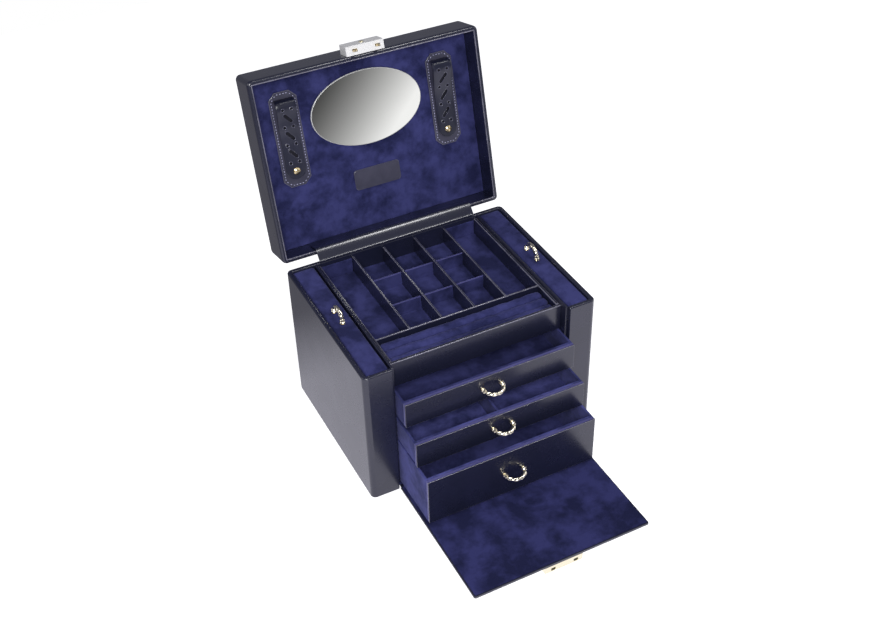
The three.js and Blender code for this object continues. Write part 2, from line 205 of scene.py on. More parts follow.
def makePolishGroup():
    # handled metal: faint smears and hairlines
    group, entry, leave = newGroup(
        "handledMetal",
        [("Scale", "NodeSocketFloat", 260.0), ("Base", "NodeSocketFloat", 0.16),
         ("Smear", "NodeSocketFloat", 0.12)],
        [("Roughness", "NodeSocketFloat"), ("Height", "NodeSocketFloat"), ("Tarnish", "NodeSocketFloat")],
    )
    spot = scaledPlace(group, entry)
    smears = addNode(group, "ShaderNodeTexNoise", {"Scale": 1.0, "Detail": 4.0, "Roughness": 0.6,
                                                   "Distortion": 0.7})
    lines = addNode(group, "ShaderNodeTexNoise", {"Scale": 14.0, "Detail": 2.0, "Roughness": 0.7})
    wire(group, (spot, smears.inputs["Vector"]), (spot, lines.inputs["Vector"]))
    rough = addNode(group, "ShaderNodeMath", operation="MULTIPLY_ADD")
    wire(
        group,
        (smears.outputs[0], rough.inputs[0]),
        (entry.outputs["Smear"], rough.inputs[1]),
        (entry.outputs["Base"], rough.inputs[2]),
        (rough.outputs[0], leave.inputs["Roughness"]),
        (lines.outputs[0], leave.inputs["Height"]),
        (smears.outputs[0], leave.inputs["Tarnish"]),
    )
    return group


napGroup = makeNapGroup()
grainGroup = makeGrainGroup()
polishGroup = makePolishGroup()


def newMaterial(name):
    material = bpy.data.materials.new(name)
    material.use_nodes = True
    tree = material.node_tree
    tree.nodes.clear()
    shader = addNode(tree, "ShaderNodeBsdfPrincipled")
    out = addNode(tree, "ShaderNodeOutputMaterial")
    wire(tree, (shader.outputs[0], out.inputs[0]))
    return material, tree, shader


def useGroup(tree, group, **values):
    node = addNode(tree, "ShaderNodeGroup")
    node.node_tree = group
    for key, value in values.items():
        node.inputs[key].default_value = value
    return node


def mixColours(tree, factor, first, second):
    mix = addNode(tree, "ShaderNodeMix", data_type="RGBA")
    for slot, value in (("A", first), ("B", second)):
        socket = [s for s in mix.inputs if s.name == slot and s.type == "RGBA"][0]
        if isinstance(value, (tuple, list)):
            socket.default_value = (*value, 1)
        else:
            wire(tree, (value, socket))
    wire(tree, (factor, mix.inputs["Factor"]))
    return [s for s in mix.outputs if s.type == "RGBA"][0]


def addBump(tree, shader, height, distance, strength=1.0):
    bump = addNode(tree, "ShaderNodeBump", {"Strength": strength, "Distance": distance})
    wire(tree, (height, bump.inputs["Height"]), (bump.outputs[0], shader.inputs["Normal"]))


def velvet(name, spec):
    material, tree, shader = newMaterial(name)
    nap = useGroup(tree, napGroup, Scale=spec["scale"], Contrast=spec["contrast"])
    base = mixColours(tree, nap.outputs["Clouds"], spec["deep"], spec["pale"])
    lint = addNode(tree, "ShaderNodeMapRange", {"From Min": 0.3, "From Max": 0.7, "To Min": 0.0,
                                                "To Max": 0.3})
    wire(tree, (nap.outputs["Fibres"], lint.inputs["Value"]))
    wire(tree, (mixColours(tree, lint.outputs[0], base, spec["tip"]), shader.inputs["Base Color"]))
    shader.inputs["Roughness"].default_value = 1.0
    shader.inputs["Specular IOR Level"].default_value = 0.12
    shader.inputs["Sheen Weight"].default_value = spec["sheen"]
    shader.inputs["Sheen Roughness"].default_value = 0.42
    shader.inputs["Sheen Tint"].default_value = (*spec["sheenTint"], 1)
    addBump(tree, shader, nap.outputs["Height"], 0.0006, 0.5)
    return material


def leather(name, spec):
    material, tree, shader = newMaterial(name)
    grain = useGroup(tree, grainGroup, Scale=spec["scale"], Dents=spec["dents"])
    base = mixColours(tree, grain.outputs["Wear"], spec["deep"], spec["rubbed"])
    wire(tree, (base, shader.inputs["Base Color"]))
    shine = addNode(
        tree,
        "ShaderNodeMapRange",
        {"From Min": 0.0, "From Max": 1.0, "To Min": spec["rough"] + 0.015, "To Max": spec["rough"] - 0.015},
    )
    wire(tree, (grain.outputs["Wear"], shine.inputs["Value"]), (shine.outputs[0], shader.inputs["Roughness"]))
    shader.inputs["IOR"].default_value = spec["ior"]
    shader.inputs["Coat Weight"].default_value = spec["coat"]
    shader.inputs["Coat Roughness"].default_value = spec["coatRough"]
    shader.inputs["Sheen Weight"].default_value = spec["sheen"]
    shader.inputs["Sheen Roughness"].default_value = 0.5
    shader.inputs["Sheen Tint"].default_value = (0.62, 0.6, 0.8, 1)
    addBump(tree, shader, grain.outputs["Height"], spec["depth"], 0.6)
    return material


def metal(name, spec):
    material, tree, shader = newMaterial(name)
    polish = useGroup(tree, polishGroup, Scale=spec["scale"], Base=spec["rough"], Smear=spec["smear"])
    wire(
        tree,
        (mixColours(tree, polish.outputs["Tarnish"], spec["bright"], spec["dull"]),
         shader.inputs["Base Color"]),
        (polish.outputs["Roughness"], shader.inputs["Roughness"]),
    )
    shader.inputs["Metallic"].default_value = spec.get("metallic", 1.0)
    addBump(tree, shader, polish.outputs["Height"], 0.00002, 0.4)
    return material


navyVelvet = velvet("navyVelvet", {
    "scale": 28.0, "contrast": 1.25, "deep": (0.0055, 0.0072, 0.032), "pale": (0.035, 0.038, 0.132),
    "tip": (0.052, 0.055, 0.18), "sheen": 0.2, "sheenTint": (0.25, 0.26, 0.5),
})
# the lining velvet made lighter for drawers 2 and 3: painted light standing in for light reaching into the
# drawers
drawerVelvet = velvet("drawerVelvet", {
    "scale": 28.0, "contrast": 1.2, "deep": (0.0095, 0.0125, 0.052), "pale": (0.056, 0.06, 0.2),
    "tip": (0.075, 0.08, 0.25), "sheen": 0.3, "sheenTint": (0.25, 0.26, 0.5),
})
# the lining velvet made darker for the flap: painted shade
paintedShadeFlapNap = velvet("flapVelvet", {
    "scale": 26.0, "contrast": 1.35, "deep": (0.0036, 0.005, 0.022), "pale": (0.023, 0.025, 0.094),
    "tip": (0.038, 0.04, 0.14), "sheen": 0.12, "sheenTint": (0.25, 0.26, 0.5),
})
# lighter velvet for top edges and the drawers' front velvet: a painted highlight where light catches the nap
napEdgeHighlight = velvet("velvetEdgeHighlight", {
    "scale": 30.0, "contrast": 0.5, "deep": (0.034, 0.034, 0.115), "pale": (0.072, 0.071, 0.205),
    "tip": (0.1, 0.098, 0.25), "sheen": 0.6, "sheenTint": (0.45, 0.45, 0.7),
})
navyLeather = leather("navyLeather", {
    "scale": 1100.0, "dents": 0.2, "deep": (0.0085, 0.0098, 0.0235), "rubbed": (0.0115, 0.0125, 0.029),
    "rough": 0.27, "ior": 1.56, "coat": 0.4, "coatRough": 0.16, "sheen": 0.0, "depth": 0.000006,
})
# lighter leather for rounded edges: partly burnished edge, partly a painted highlight standing in for the
# bright lines light draws along them
edgeLeatherWithHighlight = leather("leatherEdgeWithHighlight", {
    "scale": 1400.0, "dents": 0.3, "deep": (0.07, 0.069, 0.1), "rubbed": (0.17, 0.167, 0.22),
    "rough": 0.27, "ior": 1.6, "coat": 0.8, "coatRough": 0.14, "sheen": 0.1, "depth": 0.000003,
})
strapLeather = leather("strapLeather", {
    "scale": 1500.0, "dents": 0.3, "deep": (0.0075, 0.0085, 0.021), "rubbed": (0.012, 0.0135, 0.031),
    "rough": 0.3, "ior": 1.48, "coat": 0.28, "coatRough": 0.2, "sheen": 0.0, "depth": 0.00002,
})
# pale, glossy leather for the pressed rims round the strap's holes: its pale colour is a painted highlight
rimHighlightLeather = leather("rimHighlightLeather", {
    "scale": 1500.0, "dents": 0.3, "deep": (0.05, 0.05, 0.085), "rubbed": (0.08, 0.08, 0.125),
    "rough": 0.2, "ior": 1.7, "coat": 0.8, "coatRough": 0.14, "sheen": 0.0, "depth": 0.00002,
})
patchLeather = leather("patchLeather", {
    "scale": 1300.0, "dents": 0.5, "deep": (0.022, 0.022, 0.043), "rubbed": (0.042, 0.041, 0.07),
    "rough": 0.42, "ior": 1.5, "coat": 0.2, "coatRough": 0.3, "sheen": 0.1, "depth": 0.00004,
})
bandLeather = leather("bandLeather", {
    "scale": 1200.0, "dents": 0.2, "deep": (0.008, 0.009, 0.022), "rubbed": (0.012, 0.013, 0.029),
    "rough": 0.27, "ior": 1.58, "coat": 0.5, "coatRough": 0.2, "sheen": 0.0, "depth": 0.000003,
})
paleGold = metal("paleGold", {
    "scale": 300.0, "rough": 0.09, "smear": 0.1, "bright": (0.97, 0.92, 0.78), "dull": (0.87, 0.78, 0.58),
})
antiqueGold = metal("antiqueGold", {
    "scale": 420.0, "rough": 0.18, "smear": 0.16, "bright": (0.86, 0.72, 0.43), "dull": (0.66, 0.52, 0.28),
})
strikeBrass = metal("strikeBrass", {
    "scale": 200.0, "rough": 0.2, "smear": 0.1, "bright": (0.98, 0.92, 0.68), "dull": (0.93, 0.85, 0.58),
})
# plated nickel with a near-white, partly diffuse base, so it reads as bright as a blown highlight: partly
# nickel colour, partly painted highlight
nickelWithPaintedHighlight = metal("nickelWithPaintedHighlight", {
    "scale": 240.0, "rough": 0.22, "smear": 0.1, "bright": (0.97, 0.965, 0.95), "dull": (0.9, 0.895, 0.88),
    "metallic": 0.35,
})
groundGlass = metal("groundGlass", {
    "scale": 500.0, "rough": 0.5, "smear": 0.1, "bright": (0.62, 0.62, 0.6), "dull": (0.5, 0.5, 0.5),
    "metallic": 0.3,
})
thread = velvet("stitchThread", {
    "scale": 400.0, "contrast": 0.6, "deep": (0.3, 0.3, 0.48), "pale": (0.48, 0.48, 0.68),
    "tip": (0.55, 0.55, 0.72), "sheen": 0.3, "sheenTint": (0.7, 0.7, 0.9),
})
blackFelt = velvet("blackFelt", {
    "scale": 60.0, "contrast": 0.7, "deep": (0.008, 0.008, 0.012), "pale": (0.02, 0.02, 0.028),
    "tip": (0.03, 0.03, 0.04), "sheen": 0.2, "sheenTint": (0.3, 0.3, 0.4),
})


def silvering(name):
    material, tree, shader = newMaterial(name)
    polish = useGroup(tree, polishGroup, Scale=18.0, Base=0.012, Smear=0.012)
    wire(
        tree,
        (mixColours(tree, polish.outputs["Tarnish"], (0.9, 0.9, 0.885), (0.85, 0.855, 0.84)),
         shader.inputs["Base Color"]),
        (polish.outputs["Roughness"], shader.inputs["Roughness"]),
    )
    shader.inputs["Metallic"].default_value = 1.0
    return material


mirrorGlass = silvering("mirrorGlass")
print("materials made")

# mesh helpers


def settle(name, shape, body, materials, replaced=(), onLid=False, sharp=32, weighted=True):
    # mesh to a riding piece, with clean shading
    if onLid:
        shape.transform(lidTurn)
    bmesh.ops.recalc_face_normals(shape, faces=shape.faces)
    mesh = bpy.data.meshes.new(name)
    shape.to_mesh(mesh)
    shape.free()
    for material in materials:
        mesh.materials.append(material)
    mesh.shade_smooth()
    mesh.set_sharp_from_angle(angle=math.radians(sharp))
    piece = bpy.data.objects.new(name, mesh)
    bpy.context.scene.collection.objects.link(piece)
    if weighted:
        even = piece.modifiers.new("evenNormals", "WEIGHTED_NORMAL")
        even.keep_sharp = True
        bake(piece)
    if body:
        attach(piece, body)
    if replaced:
        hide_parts(*replaced)
    return piece


def bake(piece):
    # modifiers become part of the mesh
    bpy.context.view_layer.update()
    seen = piece.evaluated_get(bpy.context.evaluated_depsgraph_get())
    mesh = bpy.data.meshes.new_from_object(seen)
    old = piece.data
    piece.modifiers.clear()
    piece.data = mesh
    mesh.name = old.name + "Mesh"
    bpy.data.meshes.remove(old)


def block(shape, low, high, bevel=0.0, steps=2, material=0, edgeMaterial=-1, chosen=None):
    # box between two corners; chosen(edge middle, edge direction) picks the edges to round
    made = bmesh.ops.create_cube(shape, size=1.0)
    size = Vector(high) - Vector(low)
    centre = (Vector(high) + Vector(low)) / 2
    for v in made["verts"]:
        v.co = Vector([centre[i] + v.co[i] * size[i] for i in range(3)])
    faces = list({f for v in made["verts"] for f in v.link_faces})
    for f in faces:
        f.material_index = material
    if bevel > 0:
        edges = list({e for v in made["verts"] for e in v.link_edges})
        if chosen:
            edges = [e for e in edges if chosen((e.verts[0].co + e.verts[1].co) / 2,
                                                e.verts[1].co - e.verts[0].co)]
        bmesh.ops.bevel(
            shape, geom=edges, offset=bevel, segments=steps, profile=0.5, affect="EDGES",
            clamp_overlap=True, material=edgeMaterial,
        )
    return faces


def filleted(corners, steps=5):
    # outline with a radius at each corner: (x, y, radius)
    points = []
    count = len(corners)
    for i, (x, y, radius) in enumerate(corners):
        here = Vector((x, y))
        if radius <= 0:
            points.append(here)
            continue
        before = (Vector(corners[i - 1][:2]) - here).normalized()
        after = (Vector(corners[(i + 1) % count][:2]) - here).normalized()
        half = before.angle(after) / 2
        centre = here + (before + after).normalized() * (radius / math.sin(half))
        start = here + before * (radius / math.tan(half)) - centre
        end = here + after * (radius / math.tan(half)) - centre
        sweep = start.angle(end)
        for k in range(steps + 1):
            t = k / steps
            reach = start * math.sin((1 - t) * sweep) + end * math.sin(t * sweep)
            points.append(centre + reach / math.sin(sweep))
    return points


def prism(shape, outline, low, high, material=0):
    bottom = [shape.verts.new((p[0], p[1], low)) for p in outline]
    top = [shape.verts.new((p[0], p[1], high)) for p in outline]
    faces = [shape.faces.new(list(reversed(bottom))), shape.faces.new(top)]
    count = len(outline)
    for i in range(count):
        j = (i + 1) % count
        faces.append(shape.faces.new((bottom[i], bottom[j], top[j], top[i])))
    for f in faces:
        f.material_index = material
    rims = [shape.edges.get((loop[i], loop[(i + 1) % count])) for loop in (bottom, top) for i in range(count)]
    return rims[:count], rims[count:]


def roundEdges(shape, edges, width, steps=3, material=-1):
    bmesh.ops.bevel(
        shape, geom=edges, offset=width, segments=steps, profile=0.5, affect="EDGES",
        clamp_overlap=True, material=material,
    )


def loops(shape, rows, closed=True, capStart=False, capEnd=False, material=0):
    # skin over rows of points with the same count
    made = [[shape.verts.new(p) for p in row] for row in rows]
    count = len(made[0])
    last = count if closed else count - 1
    faces = []
    for a, b in zip(made, made[1:]):
        for i in range(last):
            j = (i + 1) % count
            faces.append(shape.faces.new((a[i], a[j], b[j], b[i])))
    if capStart:
        faces.append(shape.faces.new(list(reversed(made[0]))))
    if capEnd:
        faces.append(shape.faces.new(made[-1]))
    for f in faces:
        f.material_index = material
    return made, faces


def backSheet(shape, grid, level):
    # sides and a flat back at this height for an open grid of points
    edge = grid[0] + [row[-1] for row in grid[1:]] + grid[-1][-2::-1] + [row[0] for row in grid[-2:0:-1]]
    back = [shape.verts.new((v.co.x, v.co.y, level)) for v in edge]
    for i in range(len(edge)):
        j = (i + 1) % len(edge)
        shape.faces.new((edge[j], edge[i], back[i], back[j]))
    shape.faces.new(back)


def smoothLine(points, steps):
    # curve through the points, steps per span
    out = []
    for i in range(len(points) - 1):
        p0 = Vector(points[max(i - 1, 0)])
        p1, p2 = Vector(points[i]), Vector(points[i + 1])
        p3 = Vector(points[min(i + 2, len(points) - 1)])
        for k in range(steps):
            t = k / steps
            out.append(0.5 * (2 * p1 + (p2 - p0) * t + (2 * p0 - 5 * p1 + 4 * p2 - p3) * t * t
                              + (3 * p1 - p0 - 3 * p2 + p3) * t ** 3))
    out.append(Vector(points[-1]))
    return out


def board(name, node, body, materials, bevel, steps=2, edgeMaterial=-1, chosen=None,
          trim=(0, 0, 0)):
    # one covered board where the frame has it
    low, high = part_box(node)
    shape = bmesh.new()
    less = mm(*trim)
    block(shape, low + less, high - less, bevel / 1000, steps, 0, edgeMaterial, chosen)
    return settle(name, shape, body, materials, (node,))


def topEdges(level):
    # edges above this height
    return lambda middle, run: middle.z > level


# leather carcass

carcass = {
    "corner": 6.5,  # outer upright corners, mm
    "insideCorner": 0.6,
    "lip": 1.8,  # rounding of the rim
    "foot": 1.2,
    # the pillars' free edges: distance in, share of the thickness
    "gate": [(0.0, 0.62), (0.25, 0.84), (0.8, 1.0)],
}


def wrapStations(spec):
    # the covered walls as one run, from the left pillar's free edge round the back to the right one's
    backLow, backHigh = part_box("back_wall")
    pillarLow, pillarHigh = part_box("left_pillar")
    innerX = -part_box("left_wall")[1].x * 1000
    x, back, front = backHigh.x * 1000, backHigh.y * 1000, pillarLow.y * 1000
    innerFront, innerBack, gate = pillarHigh.y * 1000, backLow.y * 1000, -pillarHigh.x * 1000
    r, q = spec["corner"], spec["insideCorner"]

    def corner(cx, cy, ix, iy, start):
        # outer arc about its centre, paired with the small arc inside
        outX, outY = cx - math.copysign(r, cx), cy - math.copysign(r, cy)
        inX, inY = ix - math.copysign(q, ix), iy - math.copysign(q, iy)
        run = []
        for i in range(8):
            a = math.radians(start - 90 * i / 7)
            run.append(((outX + r * math.cos(a), outY + r * math.sin(a)),
                        (inX + q * math.cos(a), inY + q * math.sin(a)), 1.0))
        return run

    half = [((-gate - d, front), (-gate - d, innerFront), k) for d, k in spec["gate"]]
    half += corner(-x, front, -innerX, innerFront, 270)
    half += corner(-x, back, -innerX, innerBack, 180)
    half += [((0.0, back), (0.0, innerBack), 1.0)]
    return half + [((-o[0], o[1]), (-i[0], i[1]), k) for o, i, k in reversed(half[:-1])]


def makeCarcass(spec):
    low, high = (c.z * 1000 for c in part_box("left_wall"))
    thick = 6.0
    lip, foot = spec["lip"], spec["foot"]
    section = [(foot, low), (foot * 0.3, low + foot * 0.3), (0, low + foot), (0, high - lip)]
    section += [(lip * (1 - math.cos(a)), high - lip * (1 - math.sin(a))) for a in (math.pi / 8,
                                                                                    math.pi / 4,
                                                                                    3 * math.pi / 8)]
    section += [(lip, high)]
    section += [(thick - d, z) for d, z in reversed(section)]
    rows = []
    for outer, inner, k in wrapStations(spec):
        row = []
        for d, z in section:
            t = 0.5 + (d / thick - 0.5) * k
            row.append(mm(outer[0] + (inner[0] - outer[0]) * t, outer[1] + (inner[1] - outer[1]) * t, z))
        rows.append(row)
    shape = bmesh.new()
    loops(shape, rows, capStart=True, capEnd=True)
    settle("carcassLeather", shape, "case", [navyLeather],
           ("left_wall", "right_wall", "left_pillar", "right_pillar", "back_wall"))
    board("basePanel", "base_board", "case", [navyVelvet], 0.6)
    board("feltPlinth", "plinth", "case", [blackFelt], 1.5)
    for side in ("left", "right"):
        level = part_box(side + "_partition")[1].z - 0.001
        board(side + "PartitionLeather", side + "_partition", "case", [navyLeather], 1.0, 3,
              chosen=topEdges(level))
    board("lowerShelfVelvet", "lower_shelf", "case", [navyVelvet], 0.6)
    board("upperShelfLeather", "upper_shelf", "case", [navyLeather], 0.8)


makeCarcass(carcass)
print("carcass made")

# compartment tray

tray = {
    "topRound": 0.9,
    "dividerRound": 0.7,
    "crossRound": 0.8,
    "backPanel": {"thick": 1.1, "drop": 2.0},
    "lap": {"half": 1.55, "height": 9.35},  # half-lap joints of the dividers
}


def notched(name, node, materials, spec, along, spots, fromTop):
    # half-lapped board, drawn as an outline along its length and given its thickness
    low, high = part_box(node)
    lap = tray["lap"]["half"] / 1000
    middle = low.z + tray["lap"]["height"] / 1000
    a0, a1 = (low.y, high.y) if along == "y" else (low.x, high.x)
    points = [(a0, low.z)]
    if not fromTop:
        for s in sorted(spots):
            points += [(s - lap, low.z), (s - lap, middle + 0.0006), (s + lap, middle + 0.0006),
                       (s + lap, low.z)]
    points += [(a1, low.z), (a1, high.z)]
    if fromTop:
        for s in sorted(spots, reverse=True):
            points += [(s + lap, high.z), (s + lap, middle), (s - lap, middle), (s - lap, high.z)]
    points += [(a0, high.z)]
    shape = bmesh.new()
    t0, t1 = (low.x, high.x) if along == "y" else (low.y, high.y)
    place = (lambda a, t, z: (t, a, z)) if along == "y" else (lambda a, t, z: (a, t, z))
    first = [shape.verts.new(place(a, t0, z)) for a, z in points]
    second = [shape.verts.new(place(a, t1, z)) for a, z in points]
    shape.faces.new(first)
    shape.faces.new(list(reversed(second)))
    count = len(points)
    for i in range(count):
        j = (i + 1) % count
        shape.faces.new((first[j], first[i], second[i], second[j]))
    tops = [e for e in shape.edges if all(abs(v.co.z - high.z) < 1e-6 for v in e.verts)
            and abs((e.verts[0].co - e.verts[1].co).normalized().z) < 0.1
            and abs((e.verts[0].co - e.verts[1].co)[1 if along == "y" else 0]) > 1e-5]
    roundEdges(shape, tops, spec / 1000, 3, 1)
    return settle(name, shape, "case", materials, (node,))


def makeTray(spec):
    board("trayFloorVelvet", "tray_floor", "case", [navyVelvet], 0.3)
    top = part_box("tray_front")[1].z - 0.001
    # the rounded top edges take the lighter edge leather, partly a painted highlight
    board("trayFrontLeather", "tray_front", "case", [navyLeather, edgeLeatherWithHighlight], spec["topRound"],
          3, 1,
          chosen=topEdges(top))
    board("ringDividerLeather", "ring_section_divider", "case", [navyLeather, edgeLeatherWithHighlight],
          spec["topRound"], 3, 1,
          chosen=topEdges(top))
    for side in ("left", "right"):
        board(side + "TrayWallLeather", f"tray_{side}_wall", "case", [navyLeather, edgeLeatherWithHighlight],
              spec["topRound"], 3, 1, chosen=topEdges(top))
    crossSpots = [sum(c.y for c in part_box(f"cross_divider_{i}")) / 2 for i in (1, 2)]
    longSpots = [sum(c.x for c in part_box(f"tray_divider_{i}")) / 2 for i in (2, 3)]
    for i in (1, 4):
        board(f"trayDivider{i}Leather", f"tray_divider_{i}", "case", [navyLeather, edgeLeatherWithHighlight],
              spec["dividerRound"], 3, 1, chosen=topEdges(top))
    for i in (2, 3):
        notched(f"trayDivider{i}Leather", f"tray_divider_{i}", [navyLeather, edgeLeatherWithHighlight],
                spec["dividerRound"], "y", crossSpots, False)
    for i in (1, 2):
        notched(f"crossDivider{i}Velvet", f"cross_divider_{i}", [navyVelvet, napEdgeHighlight],
                spec["crossRound"], "x", longSpots, True)
    # velvet panels against the back of the two long compartments
    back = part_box("back_wall")[0].y
    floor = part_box("tray_floor")[1].z
    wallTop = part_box("tray_left_wall")[1].z
    thick = spec["backPanel"]["thick"] / 1000
    for side, sign in (("left", -1), ("right", 1)):
        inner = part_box("tray_divider_1")[0].x
        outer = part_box("tray_left_wall")[1].x
        x0, x1 = sorted((-sign * (outer + 0.0003), -sign * (inner - 0.0003)))
        shape = bmesh.new()
        block(shape, (x0, back - thick - 0.0003, floor + 0.0003),
              (x1, back - 0.0003, wallTop - spec["backPanel"]["drop"] / 1000), 0.0005, 2)
        settle(side + "BackPanelVelvet", shape, "case", [navyVelvet])


makeTray(tray)

# ring rolls

rings = {"count": 3, "crest": 18.2, "sag": 0.7, "steps": 72, "around": 26, "seed": 11}


def makeRingRolls(spec):
    low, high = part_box("ring_cushion")
    random.seed(spec["seed"])
    width = (high.y - low.y) / spec["count"]
    floor = low.z + 0.0002
    crest = low.z + spec["crest"] / 1000
    made = []
    for roll in range(spec["count"]):
        middle = low.y + width * (roll + 0.5)
        radius = width / 2 - 0.00025
        phase = random.uniform(0, 6)
        rows = []
        for i in range(spec["steps"] + 1):
            t = i / spec["steps"]
            x = low.x + (high.x - low.x) * t
            end = min(t, 1 - t) * (high.x - low.x)
            full = 1 - 0.5 * math.exp(-end / 0.0016)  # pulled in where the roll's end is sewn
            wobble = 0.00022 * math.sin(29 * t + phase) + 0.00016 * math.sin(71 * t + 2 * phase)
            sag = spec["sag"] / 1000 * math.sin(math.pi * t)
            height = (crest - floor - sag + wobble) * (0.9 + 0.1 * full)
            row = []
            for k in range(spec["around"]):
                a = 2 * math.pi * k / spec["around"]
                # upright stadium: half circle on top, flat underneath
                c, s = math.cos(a), math.sin(a)
                y = middle + radius * math.copysign(abs(c) ** 0.97, c) * full + 0.4 * wobble
                straight = height - radius
                z = floor + (straight + radius * s * full if s > 0 else straight * (1 + max(s * 1.6, -1)))
                row.append((x, y, z))
            rows.append(row)
        shape = bmesh.new()
        loops(shape, rows, capStart=True, capEnd=True)
        piece = settle(f"ringRoll{roll + 1}", shape, None, [navyVelvet], sharp=60, weighted=False)
        made.append(piece)
    return made


def puff(piece, pressure, cap, frames=14, pinBelow=None):
    # light cloth pass: the stuffing pushes the cover out and its creases stay
    mesh = piece.data
    start = [v.co.copy() for v in mesh.vertices]
    group = piece.vertex_groups.new(name="sewn")
    group.add([v.index for v in mesh.vertices if pinBelow is not None and v.co.z < pinBelow], 1.0, "REPLACE")
    cloth = piece.modifiers.new("stuffing", "CLOTH")
    cloth.settings.use_pressure = True
    cloth.settings.uniform_pressure_force = pressure
    cloth.settings.quality = 4
    cloth.settings.mass = 0.2
    cloth.settings.tension_stiffness = 12
    cloth.settings.compression_stiffness = 9
    cloth.settings.bending_stiffness = 0.4
    cloth.settings.vertex_group_mass = "sewn"
    cloth.settings.effector_weights.gravity = 0
    cloth.point_cache.frame_start = 1
    cloth.point_cache.frame_end = frames
    scene = bpy.context.scene
    for frameNumber in range(1, frames + 1):
        scene.frame_set(frameNumber)
    seen = piece.evaluated_get(bpy.context.evaluated_depsgraph_get())
    moved = [v.co.copy() for v in seen.data.vertices]
    piece.modifiers.clear()
    scene.frame_set(1)
    for v, a, b in zip(mesh.vertices, start, moved):
        step = b - a
        v.co = a + (step if step.length < cap else step.normalized() * cap)
    piece.vertex_groups.clear()
    mesh.update()


rollPieces = makeRingRolls(rings)
for piece in rollPieces:
    puff(piece, 0.6, 0.0004, pinBelow=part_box("ring_cushion")[0].z + 0.003)
    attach(piece, "case")
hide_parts("ring_cushion")
print("tray made")

# half-ring pulls

pull = {
    "radius": 12.3,
    "stem": 1.2,
    "bar": 2.45,
    "lobes": 3,
    "lobeDepth": 0.11,
    "turns": 2.0,
    "steps": 150,
    "around": 24,
    # distance from the face and radius of the collar, neck, bead and ring at each end
    "turned": [(0.0, 3.2), (0.6, 3.25), (0.85, 2.0), (1.3, 1.9), (1.65, 2.5), (2.6, 3.3), (3.55, 2.5),
               (3.85, 1.95),
               (4.15, 2.6), (5.1, 3.2), (5.95, 2.5), (6.2, 1.9), (6.7, 2.0)],
}


def makePull(name, spec, place, body, node):
    radius, stem = spec["radius"], spec["stem"]
    arc = math.pi * radius
    total = arc + 2 * stem
    rope = spec["turned"][-1][0]  # where the twisted bow begins
    shape = bmesh.new()
    rows = []
    stations = set()
    for i in range(spec["steps"] + 1):
        stations.add(round(total * i / spec["steps"], 4))
    for d, r in spec["turned"]:
        stations.add(d)
        stations.add(round(total - d, 4))
    for s in sorted(stations):
        along = max(min(s, total - s), 0)
        if along <= rope:
            table = spec["turned"]
            k = max(i for i in range(len(table)) if table[i][0] <= along + 1e-6)
            k = min(k, len(table) - 2)
            (d0, r0), (d1, r1) = table[k], table[k + 1]
            girth = r0 + (r1 - r0) * min(max((along - d0) / (d1 - d0), 0), 1)
            lobe = 0.0
        else:
            ease = min((along - rope) / 1.5, 1)
            girth = spec["turned"][-1][1] + (spec["bar"] - spec["turned"][-1][1]) * ease
            lobe = spec["lobeDepth"] * ease
        if s < stem:
            centre, normal, across = Vector((-radius, -s, 0)), Vector((1, 0, 0)), Vector((0, 0, 1))
        elif s > total - stem:
            centre, normal, across = Vector((radius, -(total - s), 0)), Vector((-1, 0, 0)), Vector((0, 0, 1))
        else:
            a = (s - stem) / radius
            centre = Vector((-radius * math.cos(a), -stem - radius * math.sin(a), 0))
            normal = Vector((math.cos(a), math.sin(a), 0))
            across = Vector((0, 0, 1))
        twist = 2 * math.pi * spec["turns"] * (s / total)
        row = []
        for k in range(spec["around"]):
            a = 2 * math.pi * k / spec["around"]
            r = girth * (1 - lobe + lobe * abs(math.cos(spec["lobes"] * (a + twist) / 2)) * 2 - lobe * 0.2)
            row.append((centre + normal * (r * math.cos(a)) + across * (r * math.sin(a))) / 1000)
        rows.append(row)
    loops(shape, rows, capStart=True, capEnd=True)
    shape.transform(place)
    settle(name, shape, body, [paleGold], (node,), sharp=50, weighted=False)


for i in (1, 2, 3):
    low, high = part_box(f"drawer_{i}_pull")
    seat = Matrix.Translation((0, high.y, (low.z + high.z) / 2)) @ Matrix.Rotation(math.radians(-7), 4,
                                                                                   "X").inverted()
    makePull(f"drawer{i}Pull", pull, seat, f"drawer_{i}", f"drawer_{i}_pull")
for side in ("left", "right"):
    low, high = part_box(f"{side}_panel_pull")
    upright = Matrix(((0, 0, 1, 0), (1, 0, 0, 0), (0, -1, 0, 0), (0, 0, 0, 1)))
    seat = Matrix.Translation(((low.x + high.x) / 2, (low.y + high.y) / 2, low.z)) @ upright
    makePull(f"{side}PanelPull", pull, seat, f"{side}_necklace_panel", f"{side}_panel_pull")
print("pulls made")

# drawers

# drawers 2 and 3 take the lighter velvet copy: painted light
drawer = {"wall": 3.0, "rim": 0.9, "facing": 1.3, "faceRound": 0.35,
          "velvets": {1: navyVelvet, 2: drawerVelvet, 3: drawerVelvet}}


